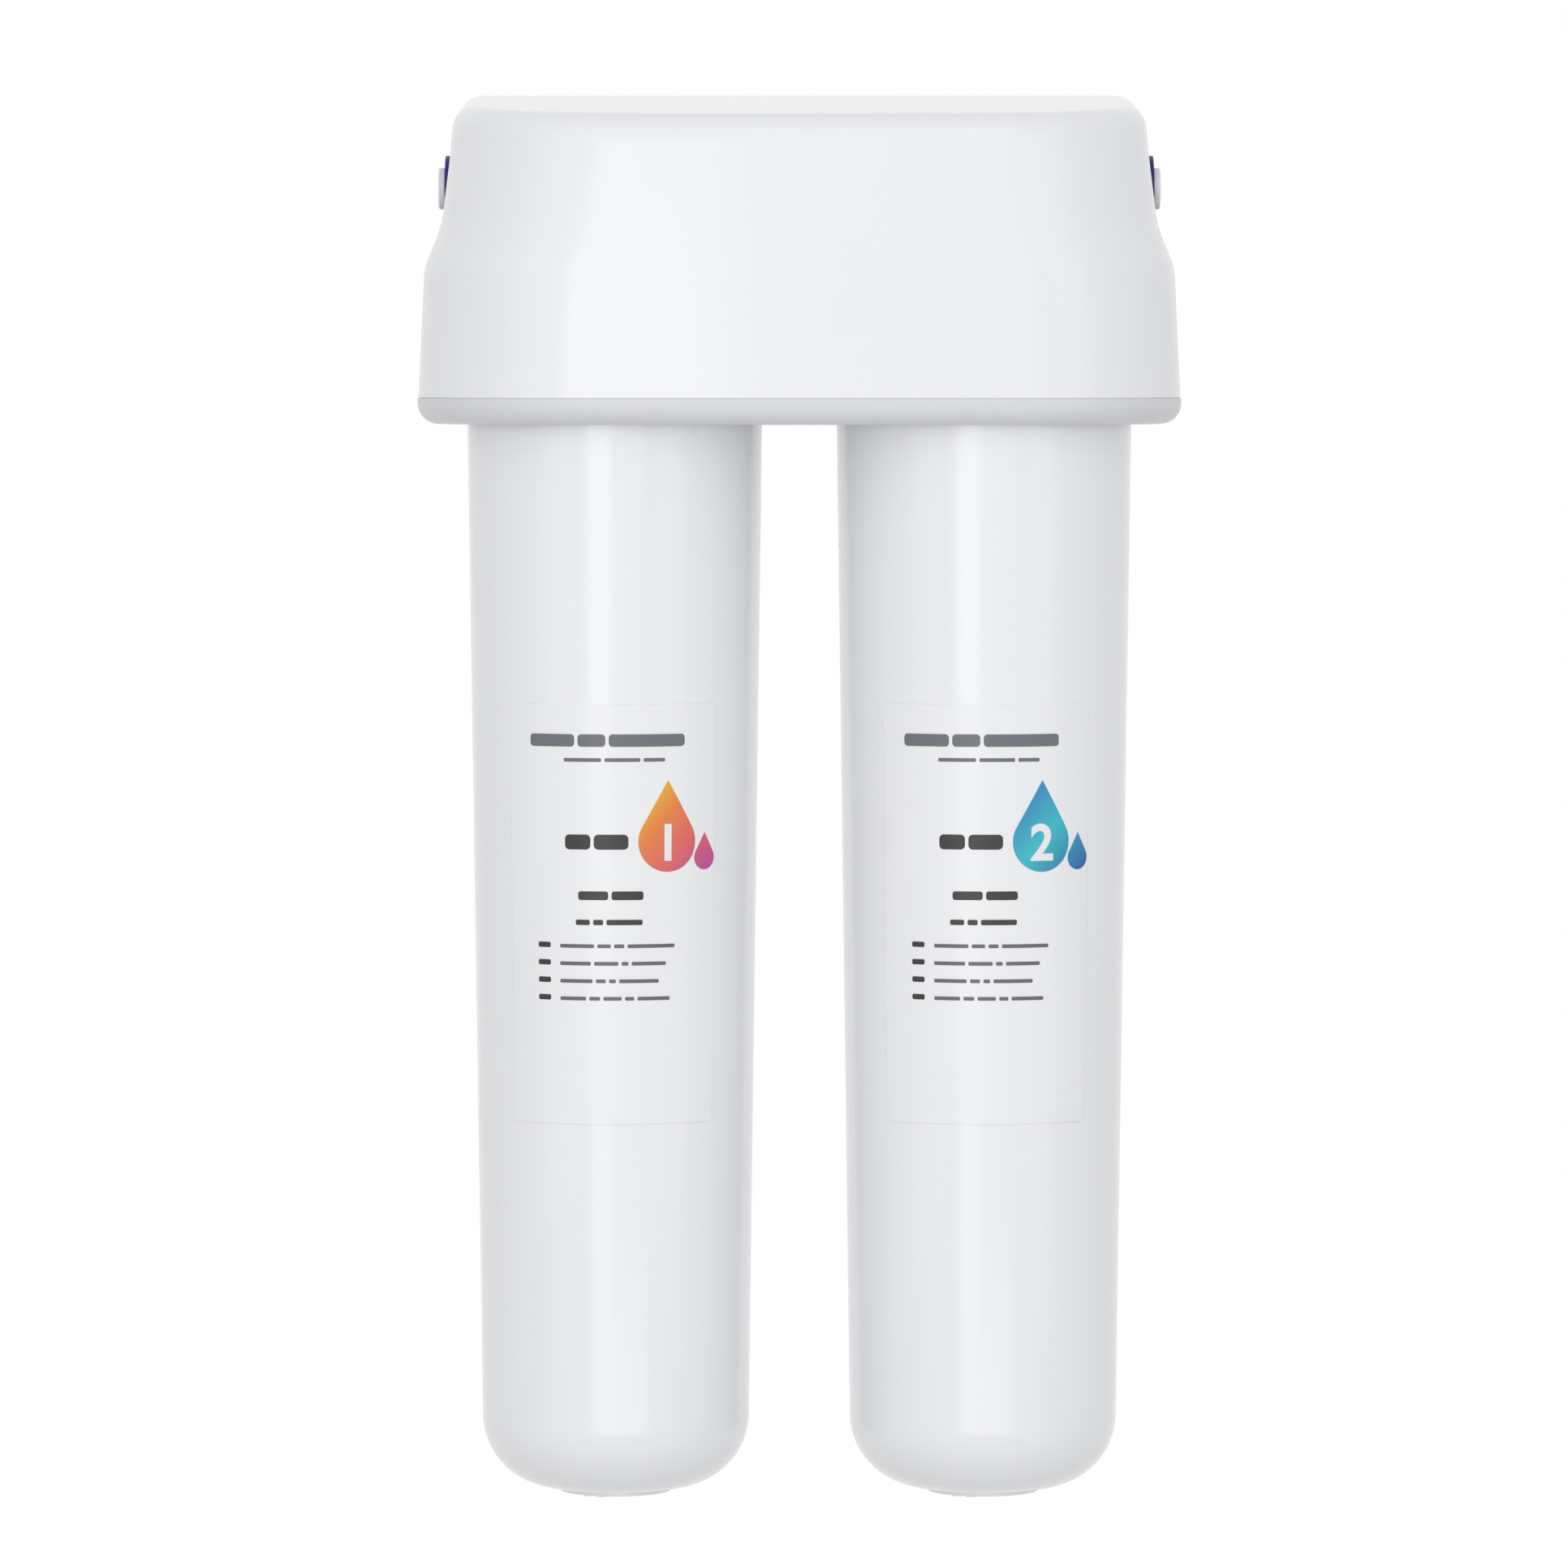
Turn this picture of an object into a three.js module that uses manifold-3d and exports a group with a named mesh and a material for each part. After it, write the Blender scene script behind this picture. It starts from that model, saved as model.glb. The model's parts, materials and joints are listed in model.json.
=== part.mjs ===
// Under sink water filter: a wall-hung head with two quick-change cartridges, a lift-off cover and
// quarter inch push-fit ports. Millimetres. X runs to the right, Y into the wall and Z up, and the
// origin is on the wall face of the mounting bracket, midway between its two keyholes.
import * as THREE from 'three';
import { mergeVertices } from 'three/addons/utils/BufferGeometryUtils.js';
import Module from 'manifold-3d';

const wasm = await Module();
wasm.setup();

// Fits
const gap = 0.3;
const slideGap = 0.4;
const overrun = 1;

// Cartridge shells, and the room that the head leaves round their mouths
const shellMouthRadius = 35.7;
const shellSpacing = 18.1;
const shellToWall = 9.3;
const headBesideShell = 12.05;
const headBeforeShell = 9.3;
const headCornerBeyondShell = 7.3;
const filterPitch = 2 * shellMouthRadius + shellSpacing;
const filterToWall = shellMouthRadius + shellToWall;

// Head outline, seen from above: a flat back, round front corners and a slightly bowed front
const headHalfWidth = filterPitch / 2 + shellMouthRadius + headBesideShell;
const headDepth = filterToWall + shellMouthRadius + headBeforeShell;
const headCornerRadius = shellMouthRadius + headCornerBeyondShell;
const headBowRadius = 750;
const headRearGap = 0.6;

// Cover: its sides step in at a scoop, and its top falls towards the front
const coverAboveTower = 10.8;
const crownRound = 5.8;
const crownFall = 7.4;
const crownAboveScoop = 22.5;
const scoopRise = 14.1;
const shoulderDraft = 1.5;
const scoopDepth = 4.7;
const crownDraft = 2.3;
const frontDraft = 1.2;
const coverWall = 2.5;
const scoopPower = 1.6;
const shoulderHalfWidth = headHalfWidth - shoulderDraft;
const scoopHalfWidth = shoulderHalfWidth - scoopDepth;
const crownHalfWidth = scoopHalfWidth - crownDraft;

// Base tray
const trayHeight = 6.3;
const trayRim = 1;
const trayFloor = 3;
const trayLipWall = 2;
const trayLipHeight = 5;
const trayRearWall = 2;
const trayHoleClearance = 0.8;
const postRadius = 4;
const trayEdgeRadius = trayHeight - gap - trayRim;

// Mounting bracket
const bracketThickness = 4;
const bracketAboveSlot = 5.5;
const bracketCorner = 5;
const keyholeAboveDeck = 8.7;
const keyholeSpread = 50;
const keyholeHeadRadius = 4.5;
const keyholeSlotRadius = 2.5;
const keyholeSlotRise = 8;
const deckThickness = 3;
const deckInset = 10;
const deckCornerInset = 9;
const deckSlotClearance = 1;
const ribHeight = 14;
const ribReach = 24;
const ribThickness = 3;
const ribSpread = 18;
const bracketHalfWidth = crownHalfWidth - coverWall - gap;
const bracketTop = keyholeSlotRise + keyholeSlotRadius + bracketAboveSlot;
const deckReach = headDepth - deckInset;
const deckCorner = headCornerRadius - deckCornerInset;

// Places of the tray's three screw posts
const frontPostInset = 4;
const rearPostInset = 3.2;
const rearPostBeforePlate = 8;
const frontPostToWall = deckReach - frontPostInset;
const rearPostToWall = bracketThickness + rearPostBeforePlate;
const rearPostSpread = bracketHalfWidth - rearPostInset;

// Screws
const screwRadius = 1.5;
const screwLength = 12;
const screwHeadRadius = 3.2;
const screwHeadHeight = 2;
const pilotBeyondScrew = 2;
const pilotDepth = screwLength - deckThickness + pilotBeyondScrew;

// Cartridge lid, neck and nipple
const nippleRadius = 7;
const nippleLength = 12;
const nippleWall = 3;
const neckBeyondNipple = 8;
const neckLength = 21;
const neckClearance = 0.5;
const sealSectionRadius = 0.8;
const sealGrooveDepth = 1.6;
const sealGrooveWidth = 2.4;
const neckSealDrop = 2.8;
const nippleSealSectionRadius = 0.55;
const nippleSealGrooveDepth = 1.1;
const nippleSealGrooveWidth = 2;
const nippleSealDrop = 1.5;
const neckPortRadius = 2;
const neckPortWall = 1.8;
const neckPorts = 4;
const lidSlope = 1.4;
const lidFlangeEdge = 0.8;
const lidFlangeSlope = 0.8;
const lidPlugDepth = 4.3;
const lidPlugWall = 5;
const lidPlate = 2.3;
const lidBossWall = 5;
const lidBossDepth = 6;
const lidToSkirt = 0.7;
const nippleBore = nippleRadius - nippleWall;
const neckRadius = nippleRadius + neckBeyondNipple;
const neckPortCircle = nippleRadius + neckPortRadius + neckPortWall;
const lidBossRadius = nippleBore + lidBossWall;
const neckBoreRadius = neckRadius + neckClearance;
const nippleBoreRadius = nippleRadius + neckClearance;

// Bayonet
const lugReach = 4;
const lugHeight = 3.5;
const lugAboveSkirt = 6.5;
const lugHeadroom = 2;
const lugClearance = 0.5;
const lugRoot = 1;
const unlockDrop = 5;
const lugCount = 3;
const unlockAngle = THREE.MathUtils.degToRad(60);
const lugHalfAngle = THREE.MathUtils.degToRad(14);
const ledgeOverlapAngle = THREE.MathUtils.degToRad(2);
const stopAngle = THREE.MathUtils.degToRad(6);

// Cartridge head: the socket that a cartridge twists into, with its shut-off valve above
const barrelChamfer = 1.5;
const barrelRoof = 2.7;
const galleryHeight = 7;
const galleryCeiling = 7.7;
const valveSeatWidth = 2.5;
const chamberHeight = 19;
const towerWall = 3;
const towerCeiling = 3;
const headScrewWall = 1.2;
const headScrewRim = 2.7;
const skirtRadius = neckRadius + lugReach + lugClearance;
const skirtDepth = lugAboveSkirt + lugHeight + lugHeadroom;
const chamberRadius = nippleBoreRadius + valveSeatWidth;
const towerRadius = chamberRadius + towerWall;
const headScrewSpread = neckBoreRadius + headScrewWall + gap + screwRadius;
const barrelRadius = headScrewSpread + screwRadius + gap + headScrewRim;

// Crossover pipe between the two heads, and the bosses that hold it
const crossoverRadius = 4.2;
const crossoverWall = 1.4;
const crossoverBossWall = 1.5;
const crossoverBossBeyond = 3;
const crossoverSeatDepth = 3.5;
const crossoverDrop = 0.2;
const crossoverBore = crossoverRadius - crossoverWall;
const crossoverBossRadius = crossoverRadius + gap + crossoverBossWall;
const crossoverBossReach = barrelRadius + crossoverBossBeyond;

// Push-fit ports
const tubeRadius = 3.175;
const tubeClearance = 0.125;
const portAboveSeat = 9;
const portSetback = 7;
const portWaterBore = 2.4;
const portSpigotWall = 2.6;
const portSpigotLength = 5.7;
const portBossWall = 3.2;
const portBossBeyond = 4.5;
const portWall = 3.3;
const portWaistDepth = 1.1;
const portCollarLength = 5;
const portMouthInset = 2.3;
const colletWall = 1;
const colletBarrelLength = 8;
const colletFlangeReach = 0.7;
const colletFlangeLength = 1.4;
const portSealRoom = 3;
const portSealRadius = 0.55;
const tubeStopDepth = 6;
const tubeBoreRadius = tubeRadius + tubeClearance;
const colletBarrelRadius = tubeBoreRadius + colletWall;
const colletFlangeRadius = colletBarrelRadius + colletFlangeReach;
const colletBoreRadius = colletBarrelRadius + slideGap;
const colletBoreDepth = colletBarrelLength + portSealRoom;
const portGuideDepth = colletBoreDepth + tubeStopDepth;
const portSpigotRadius = portWaterBore + portSpigotWall;
const portBossRadius = portSpigotRadius + gap + portBossWall;
const portBossReach = towerRadius + portBossBeyond;
const portBodyRadius = colletBoreRadius + portWall;
const portWaistRadius = portBodyRadius - portWaistDepth;
const portToWall = filterToWall - portSetback;

// Along the port's axis, from the cartridge head's axis outwards
const portBodyStart = portBossReach + gap;
const portMouth = scoopHalfWidth - filterPitch / 2 - portMouthInset;

// Lock clip behind the collet's flange
const clipThickness = 1.6;
const clipRadius = portBodyRadius;
const clipLegDrop = 2.4;

// Opening in the cover's side round each port, and the tray's cheek that fills it below the port
const portWindowClearance = 5.2;
const windowAboveClip = 1.9;
const cheekBelowPort = 7;
const cheekRoot = 0.5;
const clipTravel = clipLegDrop + colletBarrelRadius + gap;
const portWindowRadius = clipRadius + portWindowClearance;
const portWindowRise = clipTravel + windowAboveClip - portWindowClearance;

// Valve poppet and spring
const poppetStemInset = 0.5;
const poppetFlangeInset = 0.8;
const poppetFlangeThickness = 3;
const poppetPilotRadius = 3;
const poppetPilotHeight = 3;
const springWireRadius = 0.6;
const springClearance = 1.8;
const springTurns = 5;
const poppetStemRadius = nippleRadius - poppetStemInset;
const poppetFlangeRadius = chamberRadius - poppetFlangeInset;
const springRadius = poppetPilotRadius + springClearance + springWireRadius;

// Cartridge shell
const shellTopAboveTray = 9;
const shellTaper = 3.25;
const shellLength = 260.1;
const shellWall = 2.3;
const shellCornerRadius = 17.5;
const footRadius = 13.8;
const footHeight = 1.5;
const shellFootRadius = shellMouthRadius - shellTaper;

// Filter core inside the cartridge
const coreClearance = 2.15;
const coreTubeRadius = 9.6;
const coreTubeWall = 1.6;
const coreCapWall = 0.7;
const coreCapThickness = 2.6;
const coreCapRim = 4;
const coreSpoutHeight = 4;
const coreFootRadius = 7;
const coreFootSink = 9;
const coreCapRadius = shellFootRadius - shellWall - coreClearance;
const coreRadius = coreCapRadius - coreCapWall - gap;
const coreFootLength = shellCornerRadius - coreFootSink;

// Label on the cartridge
const labelBelowTray = 66.7;
const labelHeight = 100.6;
const labelThickness = 0.25;
const labelLift = 0.15;
const labelHalfAngle = THREE.MathUtils.degToRad(44.5);

// Roundness of the faceted surfaces
const shellSides = 32;
const boreSides = 20;
const portSides = 16;
const sealSides = 16;
const sealSectionSides = 5;
const screwSides = 10;
const cornerSteps = 7;
const bowSteps = 3;
const scoopSteps = 3;
const crownSteps = 4;
const trayEdgeSteps = 3;
const shellCornerSteps = 6;
const helixSteps = 3;
const stopSteps = 1;
const labelSteps = 8;
const clipSteps = 8;
const cornerRoundSteps = 3;
const deckRoundSteps = 8;
const springStepsPerTurn = 8;
const springWireSides = 5;

// Levels, from the keyholes down to the cartridge's foot
const deckTop = -keyholeAboveDeck;
const deckUnderside = deckTop - deckThickness;
const barrelTop = deckUnderside - gap;
const galleryTop = barrelTop - barrelRoof;
const neckTop = galleryTop - galleryHeight;
const lidTop = neckTop - neckLength;
const skirtBottom = lidTop + lidToSkirt;
const skirtTop = skirtBottom + skirtDepth;
const shellTop = lidTop - lidSlope - lidFlangeSlope - lidFlangeEdge - gap;
const trayUnderside = shellTop - shellTopAboveTray;
const traySeam = trayUnderside + trayHeight;
const shellBottom = trayUnderside - shellLength;
const crossoverLevel = barrelTop - crossoverDrop - crossoverBossRadius;

// Levels, from the valve seat up to the cover's crown and back down its sides
const nippleTop = neckTop + nippleLength;
const poppetBottom = nippleTop + gap;
const valveSeat = galleryTop + galleryCeiling;
const poppetFlangeUnderside = valveSeat + unlockDrop + gap;
const portLevel = valveSeat + portAboveSeat;
const chamberTop = valveSeat + chamberHeight;
const towerTop = chamberTop + towerCeiling;
const crownLevel = towerTop + coverAboveTower - crownRound;
const scoopTop = crownLevel - crownAboveScoop;
const shoulderLevel = scoopTop - scoopRise;

// Geometry helpers

// A closed geometry with shared corners and its faces pointing out.
function closed(geometry) {
  geometry.deleteAttribute('normal');
  geometry.deleteAttribute('uv');
  const merged = mergeVertices(geometry);
  const corner = (i) => new THREE.Vector3().fromBufferAttribute(merged.getAttribute('position'), i);
  const index = merged.getIndex().array;
  const faces = [];
  let volume = 0;
  for (let i = 0; i < index.length; i += 3) {
    const [a, b, c] = index.slice(i, i + 3);
    if (a !== b && b !== c && c !== a) {
      faces.push([a, b, c]);
      volume += corner(a).dot(corner(b).cross(corner(c)));
    }
  }
  const outward = volume < 0 ? faces.map(([a, b, c]) => [b, a, c]) : faces;
  merged.setIndex(outward.flat());
  return merged;
}

function solid(geometry) {
  const merged = closed(geometry);
  const vertProperties = new Float32Array(merged.getAttribute('position').array);
  const triVerts = new Uint32Array(merged.getIndex().array);
  return new wasm.Manifold(new wasm.Mesh({ numProp: 3, vertProperties, triVerts }));
}

function geometryOf(body) {
  const mesh = body.getMesh();
  const geometry = new THREE.BufferGeometry();
  geometry.setAttribute('position', new THREE.BufferAttribute(mesh.vertProperties, 3));
  geometry.setIndex(new THREE.BufferAttribute(mesh.triVerts, 1));
  return geometry;
}

// A solid turned about the Z axis from a profile of [radius, z] points.
function turned(profile, sides) {
  const points = profile.map(([radius, z]) => new THREE.Vector2(radius, z));
  return new THREE.LatheGeometry(points, sides).rotateX(Math.PI / 2);
}

// The same for a profile that runs round a hole and closes on itself.
function turnedRing(profile, sides) {
  return turned([...profile, profile[0]], sides);
}

function rod(radius, low, high, sides) {
  return turned([[0, low], [radius, low], [radius, high], [0, high]], sides);
}

// A rod along X, from one distance to another on the given side of the YZ plane.
function crossRod(radius, from, to, side, sides) {
  return alongX(rod(radius, from, to, sides), side);
}

function alongX(geometry, side) {
  return geometry.rotateY(side * Math.PI / 2);
}

function block(x0, x1, y0, y1, z0, z1) {
  const box = new THREE.BoxGeometry(x1 - x0, y1 - y0, z1 - z0);
  return box.translate((x0 + x1) / 2, (y0 + y1) / 2, (z0 + z1) / 2);
}

// A solid through rings that have equally many corners, closed by a flat face at each end.
function loft(rings) {
  const count = rings[0].length;
  const corners = rings.flat().flatMap((point) => [point.x, point.y, point.z]);
  const faces = [];
  for (let ring = 0; ring + 1 < rings.length; ring += 1) {
    for (let k = 0; k < count; k += 1) {
      const next = (k + 1) % count;
      const here = ring * count;
      const above = here + count;
      faces.push(here + k, here + next, above + next, here + k, above + next, above + k);
    }
  }
  const last = (rings.length - 1) * count;
  for (let k = 1; k + 1 < count; k += 1) {
    faces.push(0, k + 1, k, last, last + k, last + k + 1);
  }
  const geometry = new THREE.BufferGeometry();
  geometry.setAttribute('position', new THREE.Float32BufferAttribute(corners, 3));
  geometry.setIndex(faces);
  return closed(geometry);
}

// A bar of four-cornered section bent round the Z axis. low and high give its heights at an angle.
function bentBar(inner, outer, from, to, steps, low, high) {
  const rings = [];
  for (let step = 0; step <= steps; step += 1) {
    const angle = THREE.MathUtils.lerp(from, to, step / steps);
    const at = (radius, z) => new THREE.Vector3(radius * Math.cos(angle), radius * Math.sin(angle), z);
    rings.push([
      at(inner(low(angle)), low(angle)),
      at(outer(low(angle)), low(angle)),
      at(outer(high(angle)), high(angle)),
      at(inner(high(angle)), high(angle)),
    ]);
  }
  return loft(rings);
}

// Points of a quarter ellipse about a centre, from along its first radius to along its second.
function quarter(steps) {
  const points = [];
  for (let step = 0; step <= steps; step += 1) {
    const angle = (step / steps) * Math.PI / 2;
    points.push([Math.cos(angle), Math.sin(angle)]);
  }
  return points;
}

// A flat shape in the YZ plane made thick along X, centred on the given place.
function plateAcrossX(shape, thickness, x) {
  const thick = { depth: thickness, bevelEnabled: false, curveSegments: clipSteps };
  const plate = new THREE.ExtrudeGeometry(shape, thick);
  const turn = new THREE.Matrix4().makeBasis(
    new THREE.Vector3(0, 1, 0),
    new THREE.Vector3(0, 0, 1),
    new THREE.Vector3(1, 0, 0),
  );
  return plate.applyMatrix4(turn).translate(x - thickness / 2, 0, 0);
}

// Head outline and the cover's heights

// Half of the head's outline from the wall to the middle of the front, then mirrored.
function headOutline(halfWidth, depth, rear, corner, z) {
  const bow = headBowRadius;
  const run = halfWidth - corner;
  const cornerCentre = bow - depth - Math.sqrt((bow - corner) ** 2 - run ** 2);
  const bowAngle = Math.asin(run / (bow - corner));
  const half = [[halfWidth, -rear]];
  for (let step = 0; step <= cornerSteps; step += 1) {
    const angle = (step / cornerSteps) * (Math.PI / 2 - bowAngle);
    half.push([run + corner * Math.cos(angle), cornerCentre - corner * Math.sin(angle)]);
  }
  for (let step = 1; step < bowSteps; step += 1) {
    const angle = bowAngle * (1 - step / bowSteps);
    half.push([bow * Math.sin(angle), bow - depth - bow * Math.cos(angle)]);
  }
  const middle = [0, -depth];
  const mirrored = half.map(([x, y]) => [-x, y]).reverse();
  return [...half, middle, ...mirrored].map(([x, y]) => new THREE.Vector3(x, y, z));
}

// Levels with the cover's half width, depth and corner radius there, and how much the level falls
// towards the front, for its outer skin or for one drawn in by an inset.
function coverStations(inset) {
  const stations = [
    { level: traySeam, halfWidth: headHalfWidth },
    { level: shoulderLevel, halfWidth: shoulderHalfWidth },
  ];
  for (let step = 1; step <= scoopSteps; step += 1) {
    const share = step / scoopSteps;
    const level = THREE.MathUtils.lerp(shoulderLevel, scoopTop, share);
    stations.push({ level, halfWidth: scoopHalfWidth + scoopDepth * (1 - share) ** scoopPower });
  }
  for (const [side, rise] of quarter(crownSteps)) {
    const level = crownLevel + (crownRound - inset) * rise;
    stations.push({ level, halfWidth: crownHalfWidth, rounding: crownRound * (1 - side), fall: crownFall });
  }
  return stations.map(({ level, halfWidth, rounding = 0, fall = 0 }) => {
    const share = Math.min((level - traySeam) / (crownLevel - traySeam), 1);
    const drawnIn = rounding + inset;
    const depth = headDepth - frontDraft * share - drawnIn;
    return { level, fall, halfWidth: halfWidth - drawnIn, depth, corner: headCornerRadius - drawnIn };
  });
}

// The cover's form drawn in by an inset, closed at the wall side and at the bottom.
function coverForm(inset, rear, low) {
  const rings = coverStations(inset).map(({ level, fall, halfWidth, depth, corner }, index) => {
    const ring = headOutline(halfWidth, depth, rear, corner, index === 0 ? low : level);
    return ring.map((point) => point.setZ(point.z + fall * point.y / headDepth));
  });
  return solid(loft(rings));
}

// The cover's inner half width at a level near its bottom.
function coverInsideAt(level) {
  const share = (level - traySeam) / (shoulderLevel - traySeam);
  return THREE.MathUtils.lerp(headHalfWidth, shoulderHalfWidth, share) - coverWall;
}

function coverShell() {
  const outside = coverForm(0, headRearGap, traySeam);
  return outside.subtract(coverForm(coverWall, -overrun, traySeam - overrun));
}

// The port's window seen from the side, open at the bottom.
function windowShape(radius, rise, bottom) {
  const shape = new THREE.Shape();
  const centre = portLevel + rise;
  shape.moveTo(-portToWall + radius, bottom);
  shape.lineTo(-portToWall + radius, centre);
  shape.absarc(-portToWall, centre, radius, 0, Math.PI);
  shape.lineTo(-portToWall - radius, bottom);
  shape.closePath();
  return shape;
}

function headCover() {
  const window = windowShape(portWindowRadius, portWindowRise, traySeam - overrun);
  const across = 2 * (headHalfWidth + overrun);
  return coverShell().subtract(solid(plateAcrossX(window, across, 0)));
}

// The tray's cheeks, which close the cover's windows below the ports.
function trayCheeks() {
  const reach = portWindowRadius - slideGap;
  const across = headHalfWidth + overrun;
  const keep = solid(block(
    -across, across,
    -portToWall - reach, -portToWall + reach,
    traySeam - overrun, portLevel - cheekBelowPort,
  ));
  const bore = crossRod(portWindowRadius, -across, across, 1, boreSides);
  const low = traySeam - gap - cheekRoot;
  const shell = coverForm(0, headRearGap, low).subtract(coverForm(coverWall, -overrun, low - overrun));
  return shell.intersect(keep).subtract(solid(bore.translate(0, -portToWall, portLevel)));
}

// Places of the tray's screw posts, from the front round the back.
const postPlaces = [
  ['front', 0, -frontPostToWall],
  ['left', -rearPostSpread, -rearPostToWall],
  ['right', rearPostSpread, -rearPostToWall],
];

function baseTray() {
  const rimTop = traySeam - gap;
  const rings = quarter(trayEdgeSteps).reverse().map(([side, drop]) => {
    const inset = trayEdgeRadius * (1 - side);
    const z = trayUnderside + trayEdgeRadius * (1 - drop);
    return headOutline(headHalfWidth - inset, headDepth - inset, headRearGap, headCornerRadius - inset, z);
  });
  rings.push(headOutline(headHalfWidth, headDepth, headRearGap, headCornerRadius, rimTop));
  const lipTop = traySeam + trayLipHeight;
  const lipOutset = coverInsideAt(lipTop) - slideGap;
  const lipInset = headHalfWidth - lipOutset;
  const floorTop = trayUnderside + trayFloor;
  const inward = (inset, rear, low, high) => solid(loft([low, high].map((z) => (
    headOutline(headHalfWidth - inset, headDepth - inset, rear, headCornerRadius - inset, z)))));
  let tray = solid(loft(rings)).add(inward(lipInset, headRearGap, floorTop - overrun, lipTop));
  const pocketRear = headRearGap + trayRearWall;
  tray = tray.subtract(inward(lipInset + trayLipWall, pocketRear, floorTop, lipTop + overrun));
  tray = tray.add(trayCheeks());
  const holeRadius = shellMouthRadius + trayHoleClearance;
  for (const side of [-1, 1]) {
    const hole = rod(holeRadius, trayUnderside - overrun, floorTop + overrun, shellSides);
    tray = tray.subtract(solid(hole.translate(side * filterPitch / 2, -filterToWall, 0)));
  }
  const postTop = deckUnderside - gap;
  for (const [, x, y] of postPlaces) {
    const post = rod(postRadius, floorTop - trayFloor / 2, postTop, screwSides);
    const pilot = rod(screwRadius + gap, postTop - pilotDepth, postTop + overrun, screwSides);
    tray = tray.add(solid(post.translate(x, y, 0))).subtract(solid(pilot.translate(x, y, 0)));
  }
  return tray;
}

// Mounting bracket: a wall plate with two keyholes, and a deck that the cartridge heads hang from.
function roundedPlate(halfWidth, low, high, corner) {
  const shape = new THREE.Shape();
  shape.moveTo(-halfWidth + corner, low);
  shape.lineTo(halfWidth - corner, low);
  shape.absarc(halfWidth - corner, low + corner, corner, -Math.PI / 2, 0);
  shape.lineTo(halfWidth, high - corner);
  shape.absarc(halfWidth - corner, high - corner, corner, 0, Math.PI / 2);
  shape.lineTo(-halfWidth + corner, high);
  shape.absarc(-halfWidth + corner, high - corner, corner, Math.PI / 2, Math.PI);
  shape.lineTo(-halfWidth, low + corner);
  shape.absarc(-halfWidth + corner, low + corner, corner, Math.PI, 1.5 * Math.PI);
  return shape;
}

function keyhole(x) {
  const hole = new THREE.Path();
  const meet = Math.sqrt(keyholeHeadRadius ** 2 - keyholeSlotRadius ** 2);
  const angle = Math.atan2(meet, keyholeSlotRadius);
  hole.moveTo(x + keyholeSlotRadius, meet);
  hole.lineTo(x + keyholeSlotRadius, keyholeSlotRise);
  hole.absarc(x, keyholeSlotRise, keyholeSlotRadius, 0, Math.PI);
  hole.lineTo(x - keyholeSlotRadius, meet);
  hole.absarc(x, 0, keyholeHeadRadius, Math.PI - angle, 2 * Math.PI + angle);
  return hole;
}

function deckShape() {
  const shape = new THREE.Shape();
  const wide = bracketHalfWidth;
  const slot = towerRadius + deckSlotClearance;
  const middle = filterPitch / 2;
  const cornerX = wide - deckCorner;
  const cornerY = deckCorner - deckReach;
  const cut = deckSlotAngle(slot);
  shape.moveTo(wide, -bracketThickness / 2);
  shape.lineTo(wide, -filterToWall + slot);
  shape.lineTo(middle, -filterToWall + slot);
  shape.absarc(middle, -filterToWall, slot, Math.PI / 2, 1.5 * Math.PI);
  shape.lineTo(wide - deckEdgeStep(slot), -filterToWall - slot);
  shape.absarc(cornerX, cornerY, deckCorner, -cut, -Math.PI / 2, true);
  shape.lineTo(-cornerX, -deckReach);
  shape.absarc(-cornerX, cornerY, deckCorner, -Math.PI / 2, cut - Math.PI, true);
  shape.lineTo(-middle, -filterToWall - slot);
  shape.absarc(-middle, -filterToWall, slot, -Math.PI / 2, Math.PI / 2);
  shape.lineTo(-wide, -filterToWall + slot);
  shape.lineTo(-wide, -bracketThickness / 2);
  return shape;
}

// Where the slot's front edge meets the deck's round corner: its angle, and its distance from the edge.
function deckSlotAngle(slot) {
  return Math.asin((filterToWall + slot - deckReach + deckCorner) / deckCorner);
}

function deckEdgeStep(slot) {
  return deckCorner * (1 - Math.cos(deckSlotAngle(slot)));
}

function mountingBracket() {
  const low = traySeam + trayLipHeight + slideGap;
  const face = roundedPlate(bracketHalfWidth, low, bracketTop, bracketCorner);
  face.holes.push(keyhole(-keyholeSpread), keyhole(keyholeSpread));
  const thick = { depth: bracketThickness, bevelEnabled: false, curveSegments: cornerRoundSteps };
  let bracket = solid(new THREE.ExtrudeGeometry(face, thick).rotateX(Math.PI / 2));
  const deckThick = { ...thick, depth: deckThickness, curveSegments: deckRoundSteps };
  const deck = new THREE.ExtrudeGeometry(deckShape(), deckThick);
  bracket = bracket.add(solid(deck.translate(0, 0, deckUnderside)));
  const rib = new THREE.Shape();
  rib.moveTo(-bracketThickness / 2, deckTop - deckThickness / 2);
  rib.lineTo(-bracketThickness / 2, deckTop + ribHeight);
  rib.lineTo(-bracketThickness - ribReach, deckTop - deckThickness / 2);
  for (const side of [-1, 1]) {
    bracket = bracket.add(solid(plateAcrossX(rib, ribThickness, side * ribSpread)));
  }
  for (const [, x, y] of [...postPlaces, ...headScrewPlaces]) {
    const hole = rod(screwRadius + gap, deckUnderside - overrun, deckTop + overrun, screwSides);
    bracket = bracket.subtract(solid(hole.translate(x, y, 0)));
  }
  return bracket;
}

// Places of the screws that hold the two cartridge heads under the deck.
const headScrewPlaces = [
  ['left_front', -filterPitch / 2, -filterToWall - headScrewSpread],
  ['left_rear', -filterPitch / 2, -filterToWall + headScrewSpread],
  ['right_front', filterPitch / 2, -filterToWall - headScrewSpread],
  ['right_rear', filterPitch / 2, -filterToWall + headScrewSpread],
];

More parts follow.
